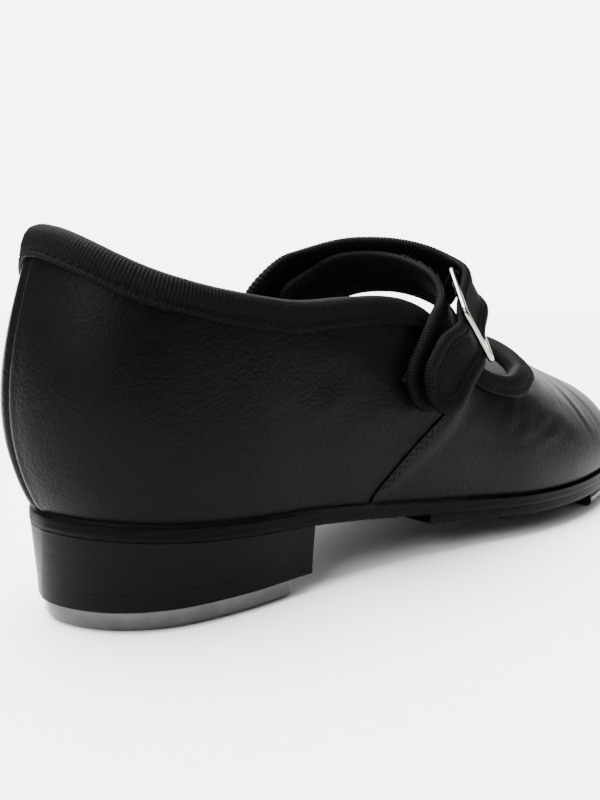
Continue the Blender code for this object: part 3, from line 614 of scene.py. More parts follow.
class MaterialMaker:
    """Builds a finish as a node material, and keeps it for the next piece that asks."""

    def __init__(self) -> None:
        """Start with nothing made."""
        self.made: dict[str, bpy.types.Material] = {}

    def __call__(self, finish: Finish) -> bpy.types.Material:
        """Return a finish's material, made at its first use.

        Args:
            finish: what to make.

        Returns:
            The material.
        """
        if finish.name not in self.made:
            self.made[finish.name] = self.build(finish)
        return self.made[finish.name]

    def build(self, finish: Finish) -> bpy.types.Material:
        """Lay out the shader, the colour variation and the relief of a finish."""
        made = bpy.data.materials.new(finish.name)
        made.use_nodes = True
        self.tree = made.node_tree
        shader = self.tree.nodes["Principled BSDF"]
        shader.inputs["Metallic"].default_value = finish.metallic
        shader.inputs["Specular IOR Level"].default_value = finish.specular
        self.coordinates = self.node("ShaderNodeTexCoord")
        height, mottle = getattr(self, finish.pattern.name.lower())(finish)
        self.ramp(mottle, finish.dark, finish.light, shader.inputs["Base Color"])
        self.spread(mottle, finish.roughness, shader.inputs["Roughness"])
        bump = self.node("ShaderNodeBump")
        bump.inputs["Strength"].default_value = finish.relief
        bump.inputs["Distance"].default_value = 0.0004
        self.link(height, bump.inputs["Height"])
        self.link(bump.outputs["Normal"], shader.inputs["Normal"])
        return made

    def node(self, kind: str) -> bpy.types.Node:
        """Add a node to the material in hand."""
        return self.tree.nodes.new(kind)

    def link(self, source: Socket, target: Socket) -> None:
        """Join two sockets."""
        self.tree.links.new(source, target)

    def noise(self, scale: float, detail: float = 4.0, rough: float = 0.5,
              stretch: tuple[float, float, float] = (1, 1, 1)) -> Socket:
        """Add noise on the piece's own coordinates.

        Args:
            scale: features to the metre.
            detail: how many finer layers it has.
            rough: how strong the finer layers are.
            stretch: the coordinates' scale along each axis.

        Returns:
            The noise's value.
        """
        mapping = self.node("ShaderNodeMapping")
        mapping.inputs["Scale"].default_value = stretch
        self.link(self.coordinates.outputs["Object"], mapping.inputs["Vector"])
        made = self.node("ShaderNodeTexNoise")
        made.inputs["Scale"].default_value = scale
        made.inputs["Detail"].default_value = detail
        made.inputs["Roughness"].default_value = rough
        self.link(mapping.outputs["Vector"], made.inputs["Vector"])
        return made.outputs["Fac"]

    def cells(self, scale: float, feature: str = "F1") -> Socket:
        """Add a cell pattern on the piece's own coordinates."""
        made = self.node("ShaderNodeTexVoronoi")
        made.feature = feature
        made.inputs["Scale"].default_value = scale
        self.link(self.coordinates.outputs["Object"], made.inputs["Vector"])
        return made.outputs["Distance"]

    def bands(self, direction: str, pitch: float, source: str = "UV", distortion: float = 0.0) -> Socket:
        """Add even ridges.

        Args:
            direction: the axis across the ridges.
            pitch: their spacing, in metres.
            source: which coordinates they lie on.
            distortion: how much they wander.

        Returns:
            The ridges' height.
        """
        made = self.node("ShaderNodeTexWave")
        made.bands_direction = direction
        made.inputs["Scale"].default_value = 0.31416 / pitch
        made.inputs["Distortion"].default_value = distortion
        made.inputs["Detail"].default_value = 1.0
        self.link(self.coordinates.outputs[source], made.inputs["Vector"])
        return made.outputs["Fac"]

    def mix(self, kind: str, a: Socket | float, b: Socket | float) -> Socket:
        """Combine two values by a Math node."""
        made = self.node("ShaderNodeMath")
        made.operation = kind
        for socket, value in zip(made.inputs, (a, b)):
            if isinstance(value, (int, float)):
                socket.default_value = value
            else:
                self.link(value, socket)
        return made.outputs["Value"]

    def ramp(self, value: Socket, dark: Sequence[float], light: Sequence[float], target: Socket) -> None:
        """Colour a value from dark to light."""
        made = self.node("ShaderNodeValToRGB")
        made.color_ramp.elements[0].color = (*dark, 1)
        made.color_ramp.elements[0].position = 0.25
        made.color_ramp.elements[1].color = (*light, 1)
        made.color_ramp.elements[1].position = 0.75
        self.link(value, made.inputs["Fac"])
        self.link(made.outputs["Color"], target)

    def spread(self, value: Socket, limits: tuple[float, float], target: Socket) -> None:
        """Spread a value between two limits."""
        made = self.node("ShaderNodeMapRange")
        made.inputs["To Min"].default_value, made.inputs["To Max"].default_value = limits
        self.link(value, made.inputs["Value"])
        self.link(made.outputs["Result"], target)

    def grain(self, finish: Finish) -> tuple[Socket, Socket]:
        """Fine pebbled leather with soft creases."""
        pebbles = self.cells(1500 * finish.scale, "SMOOTH_F1")
        fine = self.noise(2600 * finish.scale, 3)
        folds = self.noise(150 * finish.scale, 4, 0.6, (1, 1, 1.6))
        height = self.mix("ADD", self.mix("MULTIPLY", pebbles, 0.8), self.mix("MULTIPLY", fine, 0.3))
        return self.mix("ADD", height, self.mix("MULTIPLY", folds, 1.1)), self.noise(60, 5, 0.6)

    def ribs(self, finish: Finish) -> tuple[Socket, Socket]:
        """The fine threads that cover a ribbed tape; its ribs are modelled."""
        threads = self.bands("Y", 0.00032 * finish.scale, "UV", 0.4)
        fuzz = self.noise(4200, 3, 0.7)
        height = self.mix("ADD", self.mix("MULTIPLY", threads, 0.3), self.mix("MULTIPLY", fuzz, 0.4))
        return height, self.noise(500, 4, 0.65)

    def weave(self, finish: Finish) -> tuple[Socket, Socket]:
        """A plain close weave."""
        warp = self.bands("X", 0.0004 * finish.scale, "Object", 0.3)
        weft = self.bands("Y", 0.0004 * finish.scale, "Object", 0.3)
        rise = self.bands("Z", 0.0004 * finish.scale, "Object", 0.3)
        height = self.mix("ADD", self.mix("MULTIPLY", warp, weft), self.mix("MULTIPLY", rise, 0.5))
        return self.mix("ADD", height, self.noise(3000, 3)), self.noise(90, 4)

    def pile(self, finish: Finish) -> tuple[Socket, Socket]:
        """Short tangled loops."""
        loops = self.cells(2200 * finish.scale)
        return self.mix("ADD", loops, self.noise(5200, 5, 0.8)), self.noise(1800, 5, 0.8)

    def stack(self, finish: Finish) -> tuple[Socket, Socket]:
        """Lacquered layers lying on each other, with faint grain along them."""
        layers = self.bands("Z", 0.0042 * finish.scale, "Object", 0.6)
        streaks = self.noise(260, 5, 0.65, (1, 1, 9))
        line = self.mix("POWER", layers, 0.2)
        height = self.mix("ADD", self.mix("MULTIPLY", line, 0.8), self.mix("MULTIPLY", streaks, 0.9))
        return height, self.noise(120, 5, 0.6, (1, 1, 6))

    def satin(self, finish: Finish) -> tuple[Socket, Socket]:
        """Tumbled alloy: a fine even tooth and a few faint scuffs."""
        tooth = self.noise(4200 * finish.scale, 3, 0.6)
        scuffs = self.noise(700, 4, 0.7, (1, 1, 5))
        return self.mix("ADD", tooth, self.mix("MULTIPLY", scuffs, 0.5)), self.noise(220, 5, 0.65)

    def polish(self, finish: Finish) -> tuple[Socket, Socket]:
        """Drawn wire, plated: almost smooth."""
        return self.noise(900, 2, 0.4), self.noise(300, 3)

    def matte(self, finish: Finish) -> tuple[Socket, Socket]:
        """Fine stipple with soft blotches."""
        specks = self.noise(2600 * finish.scale, 4, 0.7)
        return specks, self.noise(180 * finish.scale, 4, 0.6)


LEATHER = Finish("black_calf_leather", "upper_leather", Pattern.GRAIN, (0.0008, 0.0008, 0.00085),
                 (0.0018, 0.0018, 0.0018), (0.36, 0.5), relief=0.3, specular=0.035)
TAPE = Finish("black_grosgrain_tape", "grosgrain", Pattern.RIBS, (0.0004, 0.0004, 0.00045),
              (0.0014, 0.0014, 0.0015), (0.5, 0.66), relief=0.5, specular=0.035)
STRAP_CLOTH = Finish("black_strap_cloth", "grosgrain", Pattern.WEAVE, (0.0004, 0.0004, 0.00045),
                     (0.0014, 0.0014, 0.0015), (0.55, 0.7), relief=0.5, specular=0.03)
HOOK_PILE = Finish("black_hook_pile", "hook_tape", Pattern.PILE, (0.0009, 0.0009, 0.0009),
                   (0.0034, 0.0034, 0.0035), (0.8, 0.95), relief=0.9, specular=0.1)
THREAD = Finish("black_thread", "grosgrain", Pattern.MATTE, (0.0005, 0.0005, 0.0006),
                (0.0016, 0.0016, 0.0017), (0.5, 0.65), specular=0.03)
LINT = Finish("grey_lint", "hook_tape", Pattern.MATTE, (0.02, 0.02, 0.021), (0.05, 0.05, 0.052),
              (0.8, 0.9), specular=0.1)
LINING = Finish("pale_grey_lining", "lining", Pattern.WEAVE, (0.34, 0.34, 0.345), (0.46, 0.46, 0.465),
                (0.8, 0.9), relief=0.35, specular=0.3)
SOCK = Finish("pale_grey_sock", "lining", Pattern.GRAIN, (0.36, 0.36, 0.37), (0.48, 0.48, 0.49),
              (0.55, 0.7), relief=0.25, specular=0.3)
BOARD = Finish("pressed_fibre_board", "stiffener", Pattern.MATTE, (0.42, 0.36, 0.27), (0.58, 0.5, 0.4),
               (0.75, 0.9), relief=0.4)
SOLE_EDGE = Finish("inked_sole_edge", "sole_leather", Pattern.STACK, (0.0005, 0.0005, 0.0005),
                   (0.0013, 0.0012, 0.0012), (0.38, 0.55), scale=0.35, relief=0.2, specular=0.025)
HEEL = Finish("lacquered_heel_stack", "heel_stack", Pattern.STACK, (0.0006, 0.0006, 0.0006),
              (0.0015, 0.0014, 0.0014), (0.3, 0.42), relief=0.12, specular=0.035)
RUBBER = Finish("black_rubber_sheet", "rubber", Pattern.MATTE, (0.0006, 0.0006, 0.0006),
                (0.0016, 0.0016, 0.0016), (0.55, 0.7), relief=0.5, specular=0.03)
CORK = Finish("granulated_cork", "cork", Pattern.PILE, (0.3, 0.18, 0.09), (0.56, 0.38, 0.22), (0.85, 0.95),
              scale=0.3, relief=0.6)
ALLOY = Finish("tumbled_tap_alloy", "tap_alloy", Pattern.SATIN, (0.045, 0.0445, 0.043),
               (0.066, 0.0655, 0.0635), (0.26, 0.34), metallic=1.0, relief=0.06)
NICKEL = Finish("polished_nickel", "nickel", Pattern.POLISH, (0.22, 0.2, 0.17), (0.3, 0.278, 0.24),
                (0.1, 0.2), metallic=1.0, relief=0.03)
STEEL = Finish("plain_steel", "steel", Pattern.SATIN, (0.3, 0.305, 0.31), (0.42, 0.425, 0.43), (0.3, 0.45),
               metallic=1.0, relief=0.2)

MATERIALS = MaterialMaker()


def dress(piece: Piece, finish: Finish) -> Piece:
    """Give a piece one finish, and the record's slot that goes with it."""
    piece.data.materials.clear()
    piece.data.materials.append(MATERIALS(finish))
    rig.slot(piece, finish.slot)
    return piece


def report(piece: Piece) -> Piece:
    """Log a finished piece and how many faces it has."""
    LOG.info("%s: %d faces", piece.name, len(piece.data.polygons))
    return piece


def finished(piece: Piece, finish: Finish, body: str, *nodes: str) -> None:
    """Dress a piece, let it move with a body and put it in its solids' place.

    Args:
        piece: the finished mesh.
        finish: what it is made of.
        body: the body that carries it.
        nodes: the solids that it stands for.
    """
    dress(piece, finish)
    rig.ride(piece, body)
    if nodes:
        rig.replaces(piece, *nodes)
    report(piece)


# ---- upper ----

VAMP_DRAW = 5


@dataclass
class Upper:
    """Quarters, vamp, lining and the taped top line."""

    last: Last
    leather: float = 1.4
    lining_depth: float = 3.2
    lining: float = 0.8
    seam_gap: float = 0.3
    columns: int = 64
    rows: int = 36
    tape_width: float = 6.2
    tape_pitch: float = 0.8
    wrinkle_seed: int = 11

    def build(self) -> None:
        """Make every piece of the upper."""
        for side, name in ((LATERAL, "quarter_lateral"), (MEDIAL, "quarter_medial")):
            self.quarter(side, name)
        self.vamp()
        self.linings()
        self.top_tape()
        self.seam_stitches()

    def sheet(self, name: str, walk: Callable[[float, float], tuple[int, float]], columns: int, depth: float,
              low: float, trim: float, span: float) -> Piece:
        """Lay a sheet on the last.

        Args:
            name: the piece's name.
            walk: gives the side and share at a level and a part of the way along the sheet.
            columns: how many steps it has along the shoe.
            depth: how far under the outside it lies.
            low: the level at its lower edge.
            trim: how far it stays under the top line.
            span: its length, in millimetres, for the UV map.

        Returns:
            The open sheet, facing outwards.
        """
        places = np.zeros((columns + 1, self.rows + 1, 3))
        outwards = np.zeros_like(places)
        for i in range(columns + 1):
            for j in range(self.rows + 1):
                level = low + (1 - low) * j / self.rows
                side, share = walk(level, i / columns)
                rise = self.last.level_rise(side, share, level, trim)
                here, out = self.last.frame_at(side, share, rise)
                places[i, j], outwards[i, j] = here - out * depth, out
        piece = grid_piece(name, places, (span * MM, 60 * MM))
        middle = outwards[columns // 4, self.rows // 3]
        centre = np.mean(read_points(piece), axis=0) * np.array((1, 1, 0)) + np.array((0, 0, 25))
        away = read_points(piece) - centre
        face_out(piece, away if columns > self.columns else middle)
        return piece

    def quarter(self, side: int, name: str) -> None:
        """Make one quarter, turned in at the back seam and tucked under the vamp's edge."""
        back = 0.0012

        def walk(level: float, part: float) -> tuple[int, float]:
            """Go from the back seam to the side seam."""
            end = self.last.seam_share(side, level, -self.seam_gap)
            return side, back + (end - back) * part ** 1.25

        piece = self.sheet(name + "_leather", walk, self.columns, 0, 0.004, 1.0, 110)
        apply_modifier(piece, "SUBSURF", levels=1, render_levels=1)
        self.wrinkle(piece, side, 0.1)
        self.roll_in(piece)
        thicken(piece, self.leather)
        smooth(piece, 50)
        finished(piece, LEATHER, "root", name)

    def wrinkle(self, piece: Piece, draw: int, depth: float) -> None:
        """Let the leather ripple softly.

        Args:
            piece: the sheet of leather.
            draw: picks this sheet's own random ripples.
            depth: how high the ripples stand.
        """
        points, normals = read_points(piece), read_normals(piece)
        x, z = points[:, 0], points[:, 2]
        rng = np.random.default_rng(self.wrinkle_seed + draw)
        lift = np.zeros(len(points))
        for _ in range(22):
            slant = rng.uniform(-0.7, 0.9)
            wave = rng.uniform(5.0, 15.0)
            centre = np.array([rng.uniform(58, 185), rng.uniform(22, 60)])
            reach = rng.uniform(7, 17)
            along = (x - centre[0]) * math.cos(slant) + (z - centre[1]) * math.sin(slant)
            across = -(x - centre[0]) * math.sin(slant) + (z - centre[1]) * math.cos(slant)
            fade = np.exp(-(along / reach) ** 2 - (across / (reach * 0.9)) ** 2)
            lift += depth * fade * np.sin(across * 2 * math.pi / wave)
        lift += 0.05 * np.sin(x / 9.0 + z / 13.0) * np.sin(z / 7.0 - x / 21.0)
        edge = np.clip((z - 22) / 8, 0, 1)
        write_points(piece, points + normals * (lift * edge)[:, None])

    def roll_in(self, piece: Piece) -> None:
        """Turn the leather in at the back seam, and pinch it where it meets the sole."""
        points, normals = read_points(piece), read_normals(piece)
        from_seam = np.abs(points[:, 1]) + np.maximum(points[:, 0] - 12, 0)
        depth = 0.75 * np.exp(-(from_seam / 0.9) ** 2) - 0.22 * np.exp(-((from_seam - 2.4) / 1.0) ** 2)
        floor = np.array([self.last.feather(x) for x in points[:, 0]])
        depth += 0.55 * np.exp(-((points[:, 2] - floor) / 1.1) ** 2)
        write_points(piece, points - normals * depth[:, None])

    def toe_share(self, side: int, start: float, part: float) -> float:
        """Walk one side from a share to the toe, with short steps where the throat turns."""
        knots = ((0, start), (0.22, self.last.share_at(side, 136)), (0.38, self.last.share_at(side, 154)),
                 (0.56, self.last.share_at(side, 165.5)), (1, 1))
        return float(np.interp(part, [k[0] for k in knots], [k[1] for k in knots]))

    def round_toe(self, start_outer: float, start_inner: float, part: float) -> tuple[int, float]:
        """Walk from the outer side round the toe to the inner side."""
        if part <= 0.5:
            return LATERAL, self.toe_share(LATERAL, start_outer, part * 2)
        return MEDIAL, self.toe_share(MEDIAL, start_inner, 2 - part * 2)

    def vamp(self) -> None:
        """Make the vamp, its back edges lapped a little proud of the quarters."""

        def walk(level: float, part: float) -> tuple[int, float]:
            """Go from the outer side seam round the toe to the inner one."""
            starts = [self.last.seam_share(side, level, self.seam_gap) for side in (LATERAL, MEDIAL)]
            return self.round_toe(starts[0], starts[1], part)

        piece = self.sheet("vamp_leather", walk, 150, 0, 0.004, 1.0, 330)
        self.relax_toe(piece)
        apply_modifier(piece, "SUBSURF", levels=1, render_levels=1)
        points, normals = read_points(piece), read_normals(piece)
        seam = np.array([self.last.seam(z) for z in points[:, 2]])
        edge = np.clip(points[:, 0] - seam, 0, 12)
        lap = 0.5 * np.exp(-(edge / 3.0) ** 2) * (points[:, 2] < 75)
        write_points(piece, points + normals * lap[:, None])
        self.wrinkle(piece, VAMP_DRAW, 0.055)
        self.flex_creases(piece)
        self.roll_in(piece)
        thicken(piece, self.leather)
        smooth(piece, 50)
        finished(piece, LEATHER, "root", "vamp")

    def relax_toe(self, piece: Piece) -> None:
        """Even out the toe, where the sections of the last run together."""
        points = read_points(piece)
        floor = np.array([self.last.feather(x) for x in points[:, 0]])
        weight = np.clip((points[:, 0] - 186) / 22, 0, 1) * np.clip((points[:, 2] - floor - 1.5) / 8, 0, 1)
        group = piece.vertex_groups.new(name="toe")
        for index, share in enumerate(weight):
            group.add([index], float(share), "REPLACE")
        apply_modifier(piece, "SMOOTH", factor=0.6, iterations=60, vertex_group="toe")
        piece.vertex_groups.clear()

    def flex_creases(self, piece: Piece) -> None:
        """Press a few fine creases over the joint of the toes, where the shoe bends."""
        points, normals = read_points(piece), read_normals(piece)
        lift = np.zeros(len(points))
        creases = ((174, 0.16, 1.7, 0.08), (181, 0.2, 1.5, -0.05), (189, 0.13, 1.9, 0.1))
        for x, depth, width, lean in creases:
            line = points[:, 0] + lean * (points[:, 1] - 4) + 1.4 * np.sin(points[:, 1] / 9.0 + x)
            lift -= depth * np.exp(-((line - x) / width) ** 2)
            lift += depth * 0.7 * np.exp(-((line - x - width * 2.2) / (width * 1.6)) ** 2)
        fade = np.clip((points[:, 2] - 24) / 14, 0, 1)
        write_points(piece, points + normals * (lift * fade)[:, None])

    def linings(self) -> None:
        """Make the quarter lining round the heel and the vamp lining in front of it."""
        last = self.last
        a, b = last.share_at(LATERAL, 88), last.share_at(MEDIAL, 88)

        def round_heel(level: float, part: float) -> tuple[int, float]:
            """Go from the outer waist round the heel to the inner one."""
            place = -a + (a + b) * part
            return (LATERAL if place < 0 else MEDIAL), abs(place)

        def in_front(level: float, part: float) -> tuple[int, float]:
            """Go from the outer waist round the toe to the inner one."""
            return self.round_toe(last.share_at(LATERAL, 88.4), last.share_at(MEDIAL, 88.4), part)

        for name, walk, columns in (("quarter_lining", round_heel, 96), ("vamp_lining", in_front, 110)):
            piece = self.sheet(name + "_cloth", walk, columns, self.lining_depth, 0.03, 1.2, 240)
            thicken(piece, self.lining)
            smooth(piece, 50)
            finished(piece, LINING, "root", name)

    def top_edge(self) -> tuple[np.ndarray, np.ndarray, np.ndarray]:
        """Trace the top line from the back, down the outer side, round the throat and home.

        Returns:
            Points, outward normals and the distance run at each.
        """
        turns = [math.sin(t * math.pi / 2) for t in np.linspace(0, 1, 120)]
        last = self.last
        places = [(LATERAL, last.share_at(LATERAL, last.throat_front) * t) for t in turns]
        places += [(MEDIAL, last.share_at(MEDIAL, last.throat_front) * t) for t in turns[-2:0:-1]]
        frames = [last.frame_at(side, share, last.top_rise(side, share)) for side, share in places]
        points = np.array([frame[0] for frame in frames])
        normals = np.array([frame[1] for frame in frames])
        for _ in range(8):
            normals = (np.roll(normals, 1, axis=0) + 2 * normals + np.roll(normals, -1, axis=0)) / 4
        for _ in range(2):
            points = (np.roll(points, 1, axis=0) + 2 * points + np.roll(points, -1, axis=0)) / 4
        points = np.concatenate([points, points[:1]])
        normals = np.concatenate([normals, normals[:1]])
        run = np.concatenate([[0], np.cumsum(np.linalg.norm(np.diff(points, axis=0), axis=1))])
        return points, unit(normals), run

    def top_tape(self) -> None:
        """Fold the ribbed tape over the top line, with a row of stitches near its lower edge."""
        points, normals, run = self.top_edge()
        count = int(run[-1] / self.tape_pitch) * 6
        stops = np.linspace(0, run[-1], count + 1)[:-1]
        centre = np.stack([np.interp(stops, run, points[:, k]) for k in range(3)], axis=1)
        out = unit(np.stack([np.interp(stops, run, normals[:, k]) for k in range(3)], axis=1))
        along = unit(np.roll(centre, -12, axis=0) - np.roll(centre, 12, axis=0))
        up = unit(np.cross(out, along))
        inner = 4.3
        rib = 0.075 * np.cos(2 * math.pi * stops / (run[-1] / round(run[-1] / self.tape_pitch)))
        pucker = 0.14 * np.sin(stops / 5.3) + 0.1 * np.sin(stops / 2.9 + 1)
        low = -self.tape_width
        profile = ((0.35, low, 0.3), (0.95, low + 0.15, 0.6), (1.12, low + 0.9, 0.8), (0.78, low + 1.7, 0.5),
                   (1.2, low + 2.6, 1), (1.35, -2.2, 1), (1.25, -0.6, 1), (0.8, 0.55, 1), (-0.2, 1.25, 1),
                   (-1.9, 1.5, 1), (-3.6, 1.2, 1), (-4.7, 0.4, 1), (-5.15, -0.9, 1), (-5.2, low + 1.5, 1),
                   (-4.9, low + 0.2, 0.5), (-4.4, low + 0.2, 0), (-inner, -0.6, 0), (0.2, -0.6, 0))
        rings = np.zeros((count, len(profile), 3))
        for k, (across, height, share) in enumerate(profile):
            lower = 1.0 if height < low + 1 else 0.0
            proud = across + math.copysign(1, across) * rib * share + 0.5 * pucker * lower
            raised = height + pucker * lower + rib * (k == 9)
            rings[:, k] = centre + out * proud[:, None] + up * raised[:, None]
        piece = tube_piece("topline_tape", rings, (run[-1] * MM, 0.021), closed=True)
        smooth(piece, 70)
        finished(piece, TAPE, "root", "topline_binding")
        row = stitch_row("topline_stitches", centre + out * 1.0 + up * (low + 1.7), out, 2.1)
        finished(row, THREAD, "root")

    def seam_stitches(self) -> None:
        """Sew the vamp's back edge down with two rows on each side."""
        for side, name in ((LATERAL, "outer"), (MEDIAL, "inner")):
            for offset in (1.6, 3.4):
                levels = np.linspace(0.05, 0.8 if side == LATERAL else 0.9, 60)
                frames = []
                for level in levels:
                    share = self.last.seam_share(side, level, offset)
                    rise = self.last.level_rise(side, share, level, 1.0)
                    frames.append(self.last.frame_at(side, share, rise))
                out = np.array([frame[1] for frame in frames])
                line = np.array([frame[0] for frame in frames]) + out * 0.42
                finished(stitch_row(f"side_seam_{name}_{int(offset)}", line, out, 2.3), THREAD, "root")


def stitch_row(name: str, line: np.ndarray, out: np.ndarray, length: float, radius: float = 0.2) -> Piece:
    """Model a row of sunk stitches along a line.

    Args:
        name: the piece's name.
        line: places along the row, in layout millimetres.
        out: the outward direction at each.
        length: one stitch and its gap.
        radius: half the thread's thickness.

    Returns:
        One mesh of many short, rounded threads.
    """
    run = np.concatenate([[0], np.cumsum(np.linalg.norm(np.diff(line, axis=0), axis=1))])
    count = max(int(run[-1] / length), 1)
    steps, sides = 5, 6
    verts, faces = [], []
    for k in range(count):
        stops = (k + 0.12 + 0.76 * np.linspace(0, 1, steps)) * length
        middle = np.stack([np.interp(stops, run, line[:, c]) for c in range(3)], axis=1)
        normal = unit(np.stack([np.interp(stops, run, out[:, c]) for c in range(3)], axis=1))
        arch = np.sin(np.linspace(0, math.pi, steps))
        middle = middle + normal * (arch * 0.22 - 0.14)[:, None]
        across = unit(np.cross(unit(middle[-1] - middle[0]), normal))
        base = len(verts)
        for s in range(steps):
            size = radius * (0.45 + 0.55 * arch[s])
            for a in range(sides):
                turn = 2 * math.pi * a / sides
                verts.append(middle[s] + (across[s] * math.cos(turn) + normal[s] * math.sin(turn)) * size)
        for s in range(steps - 1):
            for a in range(sides):
                b = (a + 1) % sides
                low, high = base + s * sides, base + (s + 1) * sides
                faces.append((low + a, low + b, high + b, high + a))
        faces.append(tuple(base + a for a in range(sides))[::-1])
        faces.append(tuple(base + (steps - 1) * sides + a for a in range(sides)))
    piece = mesh_piece(name, verts, faces)
    smooth(piece, 60)
    return piece


# ---- strap ----

OVER_ARCH = ((120.6, -21.5, 78), (118.4, -16, 80.8), (113.8, -7.5, 83.3), (109, -1, 83.9),
             (105, 5.5, 83.7), (96.1, 14.5, 80.6), (89.5, 17.6, 77.8))
UNDER_ARCH = ((106.5, -29.2, 67.5), (109.7, -24, 72.7), (111.6, -15, 77), (109.8, -7, 79.6),
              (106.3, 0.5, 80.4), (101.3, 8.3, 79.1), (97.3, 13, 75.6))
BEND_START, BEND_END = (83, 21, 67), (83, 12, 76)
THIRD_TURNS = (0, 2.094, 4.189)


@dataclass
class Band:
    """A strap's surface, read by the distance along it, across it and off it."""

    rows: Sequence[tuple[Sequence[float], Sequence[float]]]
    samples: int = 400

    def __post_init__(self) -> None:
        """Space the middle line evenly and find the way out of the surface along it."""
        joined = [tuple(middle) + tuple(half) for middle, half in self.rows]
        table = path_through(joined, self.samples)
        self.middle, self.half = table[:, :3], table[:, 3:]
        self.run = np.concatenate([[0], np.cumsum(np.linalg.norm(np.diff(self.middle, axis=0), axis=1))])
        along = unit(np.gradient(self.middle, axis=0))
        self.out = unit(np.cross(along, self.half))
        if self.out[self.samples // 2] @ np.array((0.5, -0.3, 0.7)) < 0:
            self.out = -self.out

    @property
    def length(self) -> float:
        """Return how long the middle line is."""
        return float(self.run[-1])

    def at(self, run: np.ndarray, across: np.ndarray, lift: np.ndarray) -> np.ndarray:
        """Return places on the strap.

        Args:
            run: distance from its first end.
            across: distance from its middle line, as a share of half its width.
            lift: height off its middle surface.

        Returns:
            Places in layout millimetres.
        """
        def read(table: np.ndarray) -> np.ndarray:
            """Read a table of directions or places at the distances."""
            return np.stack([np.interp(run, self.run, table[:, k]) for k in range(3)], axis=-1)

        sideways, off = read(self.half) * across[..., None], unit(read(self.out)) * lift[..., None]
        return read(self.middle) + sideways + off


def edge_walk(length: float, half: float, pitch: float,
              round_start: bool) -> tuple[np.ndarray, np.ndarray, np.ndarray]:
    """Walk a strap's outline from one side of its far end to the other.

    Args:
        length: the strap's length.
        half: half its width.
        pitch: the spacing of the walk's stops.
        round_start: whether the strap's first end is a half circle; otherwise only one side is walked.

    Returns:
        At each stop: the run of the turning centre, the turn (0 on the plus side, pi on the minus side) and
        the distance walked.
    """
    straight = length - half
    total = 2 * straight + math.pi * half
    walked = np.linspace(0, total, int(total / pitch) + 1)
    if not round_start:
        walked = np.linspace(0, length, int(length / pitch) + 1)
        return length - walked, np.zeros(len(walked)), walked
    turn = np.clip((walked - straight) / half, 0, math.pi)
    centre = np.where(walked < straight, length - walked, half)
    centre = np.where(walked > straight + math.pi * half, walked - straight - math.pi * half + half, centre)
    return centre, turn, walked


